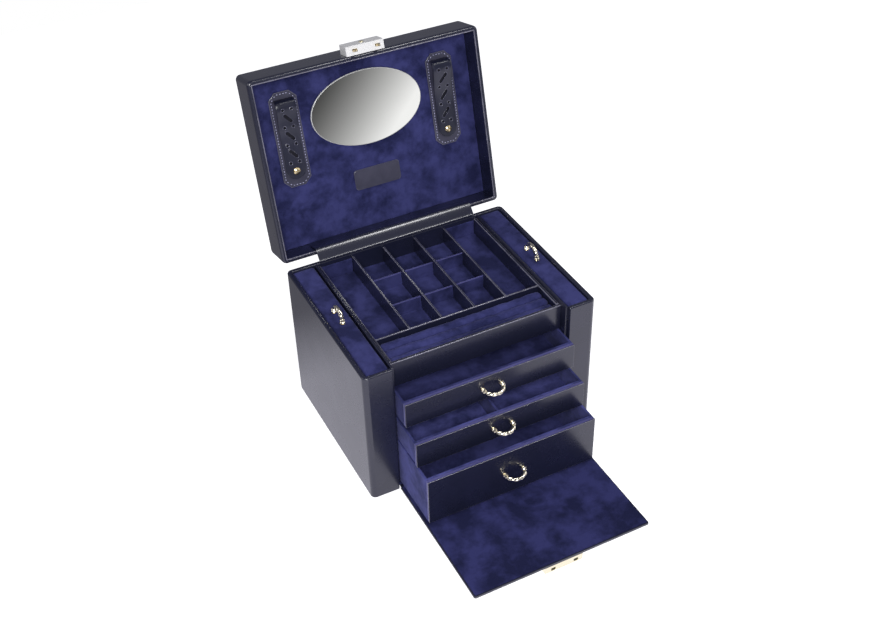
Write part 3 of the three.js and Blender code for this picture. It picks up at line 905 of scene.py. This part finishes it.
def makeDrawer(number, spec):
    body = f"drawer_{number}"
    low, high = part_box(body + "_box")
    frontLow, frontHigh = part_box(body + "_front")
    t = spec["wall"] / 1000
    shape = bmesh.new()

    def ring(inset, z):
        return [(low.x + inset, low.y + inset, z), (high.x - inset, low.y + inset, z),
                (high.x - inset, high.y - inset, z), (low.x + inset, high.y - inset, z)]

    # velvet box with rounded rims, open at the top
    rim = spec["rim"] / 1000
    rows = [ring(0, low.z), ring(0, high.z - rim), ring(0.18 * rim, high.z - 0.42 * rim),
            ring(0.6 * rim, high.z - 0.1 * rim),
            ring(t / 2, high.z), ring(t - 0.6 * rim, high.z - 0.1 * rim),
            ring(t - 0.18 * rim, high.z - 0.42 * rim),
            ring(t, high.z - rim), ring(t, low.z + t)]
    loops(shape, rows, capStart=True, capEnd=True)
    # the box's own near wall lies against the front board
    settle(f"drawer{number}Velvet", shape, body, [spec["velvets"][number]], (body + "_box",))

    facing = spec["facing"] / 1000
    # velvet behind the leather face, in the lighter edge velvet: its top is a painted highlight
    shape = bmesh.new()
    block(shape, (frontLow.x, frontLow.y + facing + 0.00005, frontLow.z),
          (frontHigh.x, frontHigh.y, frontHigh.z), 0.0007, 2)
    settle(f"drawer{number}FrontVelvet", shape, body, [napEdgeHighlight])
    shape = bmesh.new()
    block(shape, (frontLow.x, frontLow.y, frontLow.z), (frontHigh.x, frontLow.y + facing, frontHigh.z),
          spec["faceRound"] / 1000, 2, 0, 1)
    settle(f"drawer{number}FrontLeather", shape, body, [navyLeather, edgeLeatherWithHighlight],
           (body + "_front",))


for i in (1, 2, 3):
    makeDrawer(i, drawer)
board("drawer2DividerVelvet", "drawer_2_divider", "drawer_2", [navyVelvet], 0.8, 3)
print("drawers made")

# necklace panels

panel = {
    "cap": 3.8,
    "crown": 0.15,
    "round": 1.6,
    "deepest": 2.4,
    "board": (121, 125),  # sideways from the middle of the case
    "rail": (125.3, 126.5),
    "hooks": {"count": 6, "first": -85, "apart": 34, "bar": 0.8, "bead": 1.35, "drop": 0.6},
    "hook": [(1.0, 4.4), (3.0, 3.6), (4.8, 2.0), (6.4, 2.2), (7.0, 4.0), (7.2, 5.2)],
}


def makeNecklacePanel(side, sign, spec):
    node = f"{side}_necklace_panel"
    body = node
    low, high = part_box(node)
    capLow = high.z - spec["cap"] / 1000
    # velvet cap, padded over its board
    columns, rowsCount = 14, 60
    rows = []
    for i in range(rowsCount + 1):
        v = i / rowsCount
        y = low.y + (high.y - low.y) * v
        nearEnd = min(v, 1 - v) * (high.y - low.y)
        row = []
        for k in range(columns + 1):
            u = k / columns
            x = low.x + (high.x - low.x) * u
            nearSide = min(u, 1 - u) * (high.x - low.x)
            drop = 0
            for near in (nearEnd, nearSide):
                if near < spec["round"] / 1000:
                    q = 1 - near / (spec["round"] / 1000)
                    drop += spec["round"] / 1000 * (1 - math.sqrt(max(1 - q * q, 0)))
            fall = spec["crown"] / 1000 * (2 * u - 1) ** 4
            row.append((x, y, high.z - min(drop, spec["deepest"] / 1000) - fall))
        rows.append(row)
    shape = bmesh.new()
    backSheet(shape, loops(shape, rows, closed=False)[0], capLow)
    cap = settle(f"{side}PanelCap", shape, body, [navyVelvet], (node,), sharp=50)
    shape = bmesh.new()
    x0, x1 = sorted(sign * x / 1000 for x in spec["board"])
    block(shape, (x0, low.y + 0.001, low.z), (x1, high.y - 0.001, capLow), 0.0012, 3)
    settle(f"{side}PanelBoard", shape, body, [navyVelvet])

    # hook rail: flat strip with round J hooks
    railLow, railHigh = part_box(f"{side}_hook_rail")
    x0, x1 = sorted(sign * x / 1000 for x in spec["rail"])
    shape = bmesh.new()
    block(shape, (x0, railLow.y, railLow.z), (x1, railHigh.y, railHigh.z), 0.0003, 2)
    hooks = spec["hooks"]
    bar = hooks["bar"] / 1000
    line = smoothLine(spec["hook"], 5)
    for i in range(hooks["count"]):
        y = (hooks["first"] + i * hooks["apart"]) / 1000
        rows = []
        for n, p in enumerate(line):
            run = (line[min(n + 1, len(line) - 1)] - line[max(n - 1, 0)]).normalized()
            out = Vector((-run.y, run.x))
            thick = bar * (hooks["bead"] if n > len(line) - 4 else 1.0)
            row = []
            for k in range(10):
                a = 2 * math.pi * k / 10
                q = p / 1000 + out * thick * math.cos(a)
                across = sign * (spec["rail"][0] / 1000 + q.x)
                row.append((across, y + thick * math.sin(a), railLow.z - hooks["drop"] / 1000 + q.y))
            rows.append(row)
        loops(shape, rows, capStart=True, capEnd=True)
    settle(f"{side}HookRail", shape, body, [paleGold], (f"{side}_hook_rail",), sharp=40)


for side, sign in (("left", -1), ("right", 1)):
    makeNecklacePanel(side, sign, panel)
print("necklace panels made")

# drop front

flap = {"edge": 1.1, "corner": 1.3, "lining": 0.35}


def makeFlap(spec):
    low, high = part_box("flap_board")
    r = spec["corner"] / 1000
    outline = filleted([(low.x, low.y, r), (high.x, low.y, r), (high.x, high.y, 0), (low.x, high.y, 0)], 5)
    shape = bmesh.new()
    feet, rims = prism(shape, outline, low.z, high.z)
    roundEdges(shape, feet + rims, spec["edge"] / 1000, 3)
    settle("flapLeather", shape, "flap", [navyLeather], ("flap_board",))
    low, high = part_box("flap_lining")
    shape = bmesh.new()
    outline = filleted([(low.x, low.y, r), (high.x, low.y, r), (high.x, high.y, 0), (low.x, high.y, 0)], 4)
    feet, rims = prism(shape, outline, low.z - 0.00025, high.z)
    roundEdges(shape, rims, spec["lining"] / 1000, 2)
    settle("flapVelvet", shape, "flap", [paintedShadeFlapNap], ("flap_lining",))
    low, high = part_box("flap_hinge_strip")
    shape = bmesh.new()
    rows = []
    for i in range(17):
        y = low.y + (high.y - low.y) * i / 16
        rows.append([(low.x, y, low.z), (high.x, y, low.z), (high.x, y, high.z), (low.x, y, high.z)])
    loops(shape, rows, capStart=True, capEnd=True)
    strip = settle("flapHingeLeather", shape, None, [navyLeather])
    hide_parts("flap_hinge_strip")
    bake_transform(strip)


makeFlap(flap)


def softened(name, node, body, material, bevel):
    # a turned or cut metal piece as the frame has it, with its edges broken
    shape = bmesh.new()
    shape.from_mesh(nodes[node].data)
    bmesh.ops.remove_doubles(shape, verts=shape.verts, dist=2e-6)
    bmesh.ops.dissolve_limit(shape, angle_limit=math.radians(1), verts=shape.verts, edges=shape.edges)
    inside = [e for e in shape.edges if len(e.link_faces) == 2]
    sharpEdges = [e for e in inside if e.calc_face_angle(0) > math.radians(35)]
    bmesh.ops.bevel(shape, geom=sharpEdges, offset=bevel / 1000, segments=2, profile=0.5, affect="EDGES",
                    clamp_overlap=True)
    for f in shape.faces:
        f.material_index = 0
    return settle(name, shape, body, [material], (node,), sharp=40)


softened("strikePlate", "strike_box", "flap", strikeBrass, 0.25)
print("drop front made")

# lid

lid = {
    "half": (150, 115),
    "corner": 6.0,
    # inset from the outside and closed height, from the middle of the top round to the lining
    "profile": [(9.0, 246.0), (4.2, 245.9), (2.2, 245.2), (0.9, 243.9), (0.2, 242.2), (0.0, 240.0),
                (0.0, 203.0),
                (0.25, 200.9), (0.9, 199.4), (1.9, 198.5), (3.1, 198.2), (4.0, 198.25), (4.35, 198.6),
                (4.5, 199.0)],
    "bead": [(4.5, 199.0), (4.55, 198.45), (4.85, 198.1), (5.25, 198.0), (5.65, 198.15), (5.9, 198.5),
             (6.0, 199.0)],
    "wall": [(6.0, 199.0), (6.0, 214.0), (6.0, 229.0)],
}


def lidRing(inset, height, corner, steps=7):
    x, y = lid["half"][0] - inset, lid["half"][1] - inset
    r = max(corner - inset, 0.6)
    outline = filleted([(-x, -y, r), (x, -y, r), (x, y, r), (-x, y, r)], steps)
    return [mm(p[0], p[1], height) for p in outline]


def makeLid(spec):
    shape = bmesh.new()
    loops(shape, [lidRing(i, z, spec["corner"]) for i, z in spec["profile"]], capStart=True)
    loops(shape, [lidRing(i, z, spec["corner"]) for i, z in spec["wall"]])
    bmesh.ops.remove_doubles(shape, verts=shape.verts, dist=1e-6)
    settle("lidLeather", shape, "lid", [navyLeather], ("lid_shell",), onLid=True, sharp=40)
    # rim bead in the lighter edge leather: partly its own colour, partly a painted highlight
    shape = bmesh.new()
    loops(shape, [lidRing(i, z, spec["corner"]) for i, z in spec["bead"]])
    settle("lidRimBead", shape, "lid", [edgeLeatherWithHighlight], onLid=True, sharp=60, weighted=False)


makeLid(lid)

lining = {"half": (143.7, 108.7), "plane": 226.5, "thick": 3.0, "pad": 0.35, "fade": 3.0, "columns": 60,
          "rows": 46}


def makeLining(spec):
    # velvet panel, faintly padded
    x, y = spec["half"]
    rows = []
    for i in range(spec["rows"] + 1):
        v = i / spec["rows"]
        row = []
        for k in range(spec["columns"] + 1):
            u = k / spec["columns"]
            near = min(min(u, 1 - u) * 2 * x, min(v, 1 - v) * 2 * y)
            swell = spec["pad"] * (1 - math.exp(-near / spec["fade"]))
            row.append(mm(-x + 2 * x * u, -y + 2 * y * v, spec["plane"] + spec["pad"] - swell))
        rows.append(row)
    shape = bmesh.new()
    backSheet(shape, loops(shape, rows, closed=False)[0], (spec["plane"] + spec["thick"]) / 1000)
    settle("lidVelvet", shape, "lid", [navyVelvet], ("lid_lining",), onLid=True, sharp=50)


makeLining(lining)

mirror = {
    "centre": (0, -43.2),
    "half": (73.4, 46.4),
    "back": 226.2,
    "front": 224.25,
    "ground": [(0, 0.75), (0.2, 0.25), (0.8, 0)],  # inset and distance behind the front
    "sides": 120,
}


def makeMirror(spec):
    def oval(shrink, z):
        cx, cy = spec["centre"]
        a, b = spec["half"][0] - shrink, spec["half"][1] - shrink
        turns = [2 * math.pi * i / spec["sides"] for i in range(spec["sides"])]
        return [mm(cx + a * math.cos(turn), cy + b * math.sin(turn), z) for turn in turns]

    shape = bmesh.new()
    rows = [oval(shrink, spec["front"] + rise) for shrink, rise in spec["ground"]]
    faces = loops(shape, [oval(0, spec["back"])] + rows, capStart=True, capEnd=True, material=1)[1]
    # only the front face is silvered, and the ground edge round it is matt
    faces[-1].material_index = 0
    settle("ovalMirror", shape, "lid", [mirrorGlass, groundGlass], ("mirror",), onLid=True,
           sharp=8, weighted=False)


makeMirror(mirror)

label = {"centre": (0, 46), "size": (62, 26), "corner": 4, "back": 226.2, "front": 225.1, "round": 0.5}


def makeLabel(spec):
    cx, cy = spec["centre"]
    w, h = spec["size"][0] / 2, spec["size"][1] / 2
    r = spec["corner"]
    outline = filleted([(cx - w, cy - h, r), (cx + w, cy - h, r), (cx + w, cy + h, r), (cx - w, cy + h, r)],
                       8)
    shape = bmesh.new()
    feet = prism(shape, [p / 1000 for p in outline], spec["front"] / 1000, spec["back"] / 1000)[0]
    roundEdges(shape, feet, spec["round"] / 1000, 3, 1)
    settle("blankLabel", shape, "lid", [patchLeather, edgeLeatherWithHighlight], ("blank_label",), onLid=True)


makeLabel(label)

# strap holders

strap = {
    "centre": (103.5, -28),
    "patch": {"half": (17.8, 59.5), "chamfer": 8.5, "face": 224.7, "back": 226.2, "round": 0.5},
    "stitch": {"inset": 2.6, "gap": 3.5, "long": 2.1, "thick": 0.5},
    "width": 25.0,
    "thick": 2.0,
    "roundOver": 0.42,
    "rise": [(-49, 0.4), (-48, 4.6), (-44.8, 7.2), (-39, 7.6), (-28, 5.4), (-14, 2.2), (0, 0.8), (14, 0.4),
             (50, 0.4)],
    "holes": [-39.3, -16.8, 5.8, 28.4],  # along the strap
    "apart": 5.6,  # half the gap between a pair
    "hole": 2.0,
    "slots": [-28.0, -5.5, 17.1],
    "slot": {"long": 15.4, "wide": 4.2, "slant": 41},
    "rim": 0.42,  # pressed edge round every hole and slot
    "shadeBackingDepth": 0.25,  # dark backing seen through the holes, a sheet of painted shade
    "tip": 12.5,
    "end": 49.5,
    # radius and height from the seat to the crown of the press stud
    "stud": {"along": 39.5, "seat": 2.4, "profile": [(4.5, 0.0), (4.55, 0.5), (4.2, 0.95), (3.75, 1.0),
                                                     (3.5, 1.25), (2.6, 1.85), (1.4, 2.2), (0.4, 2.28)]},
}


def octagon(cx, cy, halfX, halfY, chamfer):
    return [Vector((cx + sx * px, cy + sy * py)) for sx, sy,
            order in ((-1, -1, 0), (1, -1, 1), (1, 1, 0), (-1, 1, 1))
            for px, py in (((halfX, halfY - chamfer), (halfX - chamfer, halfY)) if order == 0
                           else ((halfX - chamfer, halfY), (halfX, halfY - chamfer)))]


def makePatch(side, sign, spec):
    cx, cy = sign * spec["centre"][0], spec["centre"][1]
    data = spec["patch"]
    outline = octagon(cx, cy, *data["half"], data["chamfer"])
    shape = bmesh.new()
    feet = prism(shape, [p / 1000 for p in outline], data["face"] / 1000, data["back"] / 1000)[0]
    roundEdges(shape, feet, data["round"] / 1000, 3, 1)
    settle(side + "StrapPatch", shape, "lid", [patchLeather, edgeLeatherWithHighlight],
           (side + "_strap_patch",), onLid=True)

    # stitch line: short thread capsules that dip at both ends
    stitch = spec["stitch"]
    inset = stitch["inset"]
    path = octagon(cx, cy, data["half"][0] - inset, data["half"][1] - inset, data["chamfer"] - inset * 0.42)
    shape = bmesh.new()
    for i, a in enumerate(path):
        b = path[(i + 1) % len(path)]
        run = b - a
        count = max(int(run.length / stitch["gap"]), 1)
        for k in range(count):
            middle = a + run * ((k + 0.5) / count)
            along = run.normalized()
            beside = Vector((-along.y, along.x))
            rows = []
            for n in range(7):
                t = n / 6 * 2 - 1
                girth = stitch["thick"] * math.sqrt(max(1 - t * t, 0.02))
                centre = middle + along * (t * stitch["long"] / 2)
                lift = data["face"] - 0.12 + 0.28 * t * t
                rows.append([mm(centre.x + beside.x * girth * math.cos(q),
                                centre.y + beside.y * girth * math.cos(q),
                                lift - girth * math.sin(q)) for q in [2 * math.pi * m / 6 for m in range(6)]])
            loops(shape, rows, capStart=True, capEnd=True)
    settle(side + "PatchStitches", shape, "lid", [thread], onLid=True, sharp=70, weighted=False)


def makeStrap(side, sign, spec):
    cx, cy = sign * spec["centre"][0], spec["centre"][1]
    face = spec["patch"]["face"]
    line = smoothLine(spec["rise"], 8)
    half, thick, tip = spec["width"] / 2, spec["thick"], spec["tip"]
    tipStart = spec["end"] - tip
    columns = 16
    # narrowed finely towards the round tip
    flat = [s for s in line[:-1] if s.x < tipStart]
    flat += [Vector((tipStart + tip * math.sin(math.pi / 2 * k / 14), 0.4)) for k in range(15)]
    outer, inner, backing = [], [], []
    for i, p in enumerate(flat):
        run = (flat[min(i + 1, len(flat) - 1)] - flat[max(i - 1, 0)]).normalized()
        out = Vector((-run.y, run.x))
        over = max(p.x - tipStart, 0)
        reach = half * math.sqrt(max(1 - (over / tip) ** 2, 0.0004))
        top, bottom = [], []
        for k in range(columns + 1):
            u = 2 * k / columns - 1
            x = cx + reach * u
            fall = spec["roundOver"] * (abs(u) ** 10)
            q = p + out * (thick - fall)
            top.append(mm(x, cy + q.x, face - q.y))
            w = p + out * fall * 0.6
            bottom.append(mm(x, cy + w.x, face - w.y))
        outer.append(top)
        inner.append(bottom)
        near, far = p - out * 0.02, p - out * spec["shadeBackingDepth"]
        corners = ((near, -1), (near, 1), (far, 1), (far, -1))
        backing.append([mm(cx + way * 0.93 * reach, cy + q.x, face - q.y) for q, way in corners])
    shape = bmesh.new()
    rows = [top + list(reversed(bottom)) for top, bottom in zip(outer, inner)]
    loops(shape, rows, capStart=True, capEnd=True)
    bmesh.ops.recalc_face_normals(shape, faces=shape.faces)
    mesh = bpy.data.meshes.new(side + "StrapBlank")
    shape.to_mesh(mesh)
    shape.free()
    piece = bpy.data.objects.new(side + "Strap", mesh)
    bpy.context.scene.collection.objects.link(piece)

    # punched holes and slanted slots
    outlines = []
    for s in spec["holes"]:
        for way in (-1, 1):
            middle = Vector((cx + way * spec["apart"], cy + s))
            outlines.append([middle + Vector((math.cos(math.pi * k / 9),
                                              math.sin(math.pi * k / 9))) * spec["hole"]
                             for k in range(18)])
    cutter = spec["slot"]
    for s in spec["slots"]:
        angle = math.radians(90 + sign * cutter["slant"])
        along = Vector((math.cos(angle), math.sin(angle)))
        beside = Vector((-along.y, along.x))
        straight = (cutter["long"] - cutter["wide"]) / 2
        outline = []
        for way in (1, -1):
            for k in range(9):
                q = -math.pi / 2 + math.pi * k / 8
                reach = along * (straight + cutter["wide"] / 2 * math.cos(q))
                reach += beside * (cutter["wide"] / 2 * math.sin(q))
                outline.append(Vector((cx, cy + s)) + way * reach)
        outlines.append(outline)
    cutters = bmesh.new()
    for outline in outlines:
        prism(cutters, [p / 1000 for p in outline], (face - 14) / 1000, (face + 0.2) / 1000)
    bmesh.ops.recalc_face_normals(cutters, faces=cutters.faces)
    tool = bpy.data.meshes.new("punch")
    cutters.to_mesh(tool)
    cutters.free()
    punch = bpy.data.objects.new("punch", tool)
    bpy.context.scene.collection.objects.link(punch)
    cut = piece.modifiers.new("punched", "BOOLEAN")
    cut.operation = "DIFFERENCE"
    cut.object = punch
    cut.solver = "EXACT"
    bake(piece)
    bpy.data.objects.remove(punch)
    bpy.data.meshes.remove(tool)
    shape = bmesh.new()
    shape.from_mesh(piece.data)
    bpy.data.objects.remove(piece)
    bmesh.ops.remove_doubles(shape, verts=shape.verts, dist=5e-6)
    for f in shape.faces:
        f.material_index = 0
    settle(side + "Strap", shape, side + "_strap", [strapLeather], (side + "_strap",),
           onLid=True, sharp=48)

    # black felt strip under the strap: painted shade seen through the holes
    shape = bmesh.new()
    loops(shape, backing, capStart=True, capEnd=True)
    settle(side + "StrapShadeBacking", shape, side + "_strap", [blackFelt], onLid=True, sharp=48,
           weighted=False)

    # pressed rims, lying on the strap's curve; their pale leather is a painted highlight
    def heightAt(y):
        s = y - cy
        k = next((i for i in range(len(flat) - 1) if flat[i + 1].x >= s), len(flat) - 2)
        share = min(max((s - flat[k].x) / max(flat[k + 1].x - flat[k].x, 1e-6), 0), 1)
        return flat[k].y + (flat[k + 1].y - flat[k].y) * share + thick

    shape = bmesh.new()
    for outline in outlines:
        middle = sum(outline, Vector((0, 0))) / len(outline)
        rows = []
        for p in outline:
            out = (p - middle).normalized()
            row = []
            for k in range(8):
                q = 2 * math.pi * k / 8
                spot = p + out * (spec["rim"] * (0.45 + math.cos(q)))
                row.append(mm(spot.x, spot.y, face - heightAt(spot.y) - spec["rim"] * 0.62 * math.sin(q)))
            rows.append(row)
        loops(shape, rows + [rows[0]])
    bmesh.ops.remove_doubles(shape, verts=shape.verts, dist=1e-6)
    settle(side + "StrapRims", shape, side + "_strap", [rimHighlightLeather], onLid=True, sharp=70,
           weighted=False)

    # cap of the press stud
    rows = []
    stud = spec["stud"]
    turns = [2 * math.pi * k / 32 for k in range(32)]
    for r, z in stud["profile"]:
        height = face - stud["seat"] - z
        rows.append([mm(cx + r * math.cos(q), cy + stud["along"] + r * math.sin(q), height) for q in turns])
    shape = bmesh.new()
    loops(shape, rows, capStart=True, capEnd=True)
    settle(side + "SnapCap", shape, side + "_strap", [antiqueGold], (side + "_snap",), onLid=True,
           sharp=50)


for side, sign in (("left", -1), ("right", 1)):
    makePatch(side, sign, strap)
    makeStrap(side, sign, strap)
print("lid made")

# lock and hinge

softened("lockCase", "lock_case", "lid", nickelWithPaintedHighlight, 0.3)
softened("lockHooks", "lock_hooks", "lock_hooks", antiqueGold, 0.2)
softened("keyBarrel", "key_barrel", "key_barrel", strikeBrass, 0.15)
softened("hingeCaseLeaf", "hinge_case_leaf", "case", strikeBrass, 0.15)
softened("hingeLidLeaf", "hinge_lid_leaf", "lid", strikeBrass, 0.15)
softened("hingePin", "hinge_pin", "case", nickelWithPaintedHighlight, 0.15)

band = {
    "from": -106.5, "to": 108.0, "thick": 1.2, "corner": 7.0, "columns": 40,
    # on the lid, closed: the face of its wall and the heights up it
    "inner": 108.55, "upLid": (212, 216, 220, 224.2),
    # the roll from the rim of the case up to the open lid: depth and height
    "roll": [(109.2, 197.4), (111.0, 198.0), (112.8, 199.4), (114.4, 201.1), (116.0, 202.9), (117.7, 204.6),
             (119.5, 206.2), (121.4, 207.5), (123.4, 208.3), (125.4, 208.2)],
}


def makeBand(spec):
    def onLid(y, z):
        p = lidTurn @ mm(0, y, z)
        return Vector((p.y, p.z)) * 1000

    inner = spec["inner"]
    line = [Vector(p) for p in spec["roll"]]
    line += [onLid(inner - 1.0, 205.0), onLid(inner, 208.5)]
    line += [onLid(inner, z) for z in spec["upLid"]]
    points = smoothLine(line, 4)
    rows = []
    last = len(points) - 1
    for i, p in enumerate(points):
        run = (points[min(i + 1, last)] - points[max(i - 1, 0)]).normalized()
        out = Vector((-run.y, run.x)) * spec["thick"]
        # rounded corners where the band ends on the lid's wall
        left = (points[-1] - p).length
        trim = 0.0
        if left < spec["corner"] and i > last / 2:
            trim = spec["corner"] - math.sqrt(max(spec["corner"] ** 2 - (spec["corner"] - left) ** 2, 0))
        x0, x1 = spec["from"] + trim, spec["to"] - trim
        row = []
        for k in range(spec["columns"] + 1):
            x = x0 + (x1 - x0) * k / spec["columns"]
            q = p + out
            row.append(mm(x, q.x, q.y))
        for k in range(spec["columns"], -1, -1):
            x = x0 + (x1 - x0) * k / spec["columns"]
            row.append(mm(x, p.x, p.y))
        rows.append(row)
    shape = bmesh.new()
    loops(shape, rows, capStart=True, capEnd=True)
    piece = settle("hingeBandLeather", shape, None, [bandLeather], sharp=40, weighted=False)
    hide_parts("hinge_band")
    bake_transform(piece)


makeBand(band)
print("lock and hinge made")

# studio

studio = {
    "floorHalf": 1.4,
    "top": {"place": (0.6, -0.2, 1.9), "size": (0.35, 0.4), "power": 8},
    "left": {"place": (-1.8, 0.6, 1.2), "size": (1.2, 1.2), "power": 7},
    "right": {"place": (1.7, -0.5, 1.1), "size": (1.0, 1.2), "power": 6},
    "front": {"place": (-0.52, -1.1, 1.12), "size": (0.5, 0.5), "power": 21},
    "aim": (0, 0, 0.15),
    # how bright the table is where leather mirrors it: place from front to back in metres, share of the level
    "tableGlow": {"level": 1.25, "stops": [(-0.5, 1.0), (-0.2, 0.92), (-0.06, 0.66), (0.13, 0.64),
                                           (0.27, 0.2), (0.5, 0.18)]},
    "air": {"front": 0.2, "back": 0.2, "colour": (0.84, 0.85, 1.0)},
    # what the mirror faces: a wall that runs from dim on the left to bright on the right
    "wall": {"across": 8.2, "down": 8.0, "middle": (0.335, -0.046), "level": 0.7, "least": 0.2},
}


def softbox(name, spec, aim):
    data = bpy.data.lights.new(name, "AREA")
    data.shape = "RECTANGLE"
    data.size, data.size_y = spec["size"]
    data.energy = spec["power"]
    lamp = bpy.data.objects.new(name, data)
    bpy.context.scene.collection.objects.link(lamp)
    lamp.location = spec["place"]
    lamp.rotation_mode = "QUATERNION"
    lamp.rotation_quaternion = (Vector(aim) - Vector(spec["place"])).to_track_quat("-Z", "Y")
    lamp.visible_camera = False


def mapped(tree, source, start, end, low, high, smooth=False):
    node = addNode(tree, "ShaderNodeMapRange", {"From Min": start, "From Max": end, "To Min": low,
                                                "To Max": high})
    if smooth:
        node.interpolation_type = "SMOOTHSTEP"
    wire(tree, (source, node.inputs["Value"]))
    return node.outputs[0]


def maths(tree, operation, *values, clamp=False):
    node = addNode(tree, "ShaderNodeMath", operation=operation, use_clamp=clamp)
    for i, value in enumerate(values):
        if isinstance(value, (int, float)):
            node.inputs[i].default_value = value
        else:
            wire(tree, (value, node.inputs[i]))
    return node.outputs[0]


def tableMaterial(spec):
    material = bpy.data.materials.new("paleTable")
    material.use_nodes = True
    tree = material.node_tree
    tree.nodes.clear()
    paint = addNode(tree, "ShaderNodeBsdfDiffuse", {"Color": (0.8, 0.8, 0.8, 1)})
    lift = addNode(tree, "ShaderNodeEmission", {"Color": (1, 1, 1, 1), "Strength": 0.72})
    both = addNode(tree, "ShaderNodeAddShader")
    place = addNode(tree, "ShaderNodeTexCoord")
    split = addNode(tree, "ShaderNodeSeparateXYZ")
    wire(tree, (place.outputs["Object"], split.inputs[0]))
    ramp = addNode(tree, "ShaderNodeValToRGB")
    stops = ramp.color_ramp.elements
    for i, (y, level) in enumerate(spec["tableGlow"]["stops"]):
        stop = stops[i] if i < 2 else stops.new(1.0)
        stop.position = y + 0.5
        stop.color = (level, level, level, 1)
    wire(tree, (maths(tree, "ADD", split.outputs["Y"], 0.5), ramp.inputs[0]))
    level = maths(tree, "MULTIPLY", ramp.outputs[0], spec["tableGlow"]["level"])
    glow = addNode(tree, "ShaderNodeEmission", {"Color": (0.90, 0.885, 1.0, 1)})
    ray = addNode(tree, "ShaderNodeLightPath")
    choose = addNode(tree, "ShaderNodeMixShader")
    out = addNode(tree, "ShaderNodeOutputMaterial")
    wire(
        tree,
        (paint.outputs[0], both.inputs[0]),
        (lift.outputs[0], both.inputs[1]),
        (level, glow.inputs["Strength"]),
        (ray.outputs["Is Camera Ray"], choose.inputs[0]),
        (glow.outputs[0], choose.inputs[1]),
        (both.outputs[0], choose.inputs[2]),
        (choose.outputs[0], out.inputs[0]),
    )
    return material


def studioAir(spec):
    world = bpy.data.worlds.new("studioAir")
    world.use_nodes = True
    air = world.node_tree
    air.nodes.clear()
    place = addNode(air, "ShaderNodeTexCoord")
    split = addNode(air, "ShaderNodeSeparateXYZ")
    wire(air, (place.outputs["Generated"], split.inputs[0]))
    x, y, z = (split.outputs[k] for k in ("X", "Y", "Z"))
    room = mapped(air, y, -0.4, 0.8, spec["air"]["front"], spec["air"]["back"], True)
    wall = spec["wall"]
    midX, midZ = wall["middle"]
    side = maths(air, "MULTIPLY_ADD", x, wall["across"],
                 wall["level"] - wall["across"] * midX + wall["down"] * midZ)
    tone = maths(air, "MULTIPLY_ADD", z, -wall["down"], side)
    tone = maths(air, "POWER", maths(air, "MINIMUM", maths(air, "MAXIMUM", tone, wall["least"]), 1.0), 2.2)
    sides = maths(air, "MULTIPLY", mapped(air, x, 0.22, 0.27, 0.0, 1.0), mapped(air, x, 0.45, 0.4, 0.0, 1.0))
    heights = maths(air, "MULTIPLY", mapped(air, z, 0.07, 0.02, 0.0, 1.0),
                    mapped(air, z, -0.16, -0.11, 0.0, 1.0))
    seen = maths(air, "MULTIPLY", maths(air, "MULTIPLY", sides, heights), maths(air, "LESS_THAN", y, 0.0))
    mixed = maths(air, "ADD", maths(air, "MULTIPLY", tone, seen),
                  maths(air, "MULTIPLY", room, maths(air, "SUBTRACT", 1.0, seen)))
    ray = addNode(air, "ShaderNodeLightPath")
    direct = ray.outputs["Is Camera Ray"]
    strength = maths(air, "MAXIMUM", mixed, direct)
    colour = mixColours(air, maths(air, "MAXIMUM", seen, direct), spec["air"]["colour"], (1, 1, 1))
    back = addNode(air, "ShaderNodeBackground")
    out = addNode(air, "ShaderNodeOutputWorld")
    wire(
        air,
        (colour, back.inputs["Color"]),
        (strength, back.inputs["Strength"]),
        (back.outputs[0], out.inputs[0]),
    )
    bpy.context.scene.world = world


def makeStudio(spec):
    h = spec["floorHalf"]
    shape = bmesh.new()
    corners = [shape.verts.new((sx * h, sy * h, -0.0004)) for sx, sy in ((-1, -1), (1, -1), (1, 1), (-1, 1))]
    shape.faces.new(corners)
    mesh = bpy.data.meshes.new("paleTable")
    shape.to_mesh(mesh)
    shape.free()
    mesh.materials.append(tableMaterial(spec))
    table = bpy.data.objects.new("paleTable", mesh)
    bpy.context.scene.collection.objects.link(table)
    for name in ("top", "left", "right", "front"):
        softbox(name + "Softbox", spec[name], spec["aim"])
    studioAir(spec)
    bpy.context.scene.view_settings.view_transform = "Standard"


makeStudio(studio)
print("studio made")

# last update of the scene

bpy.context.view_layer.update()
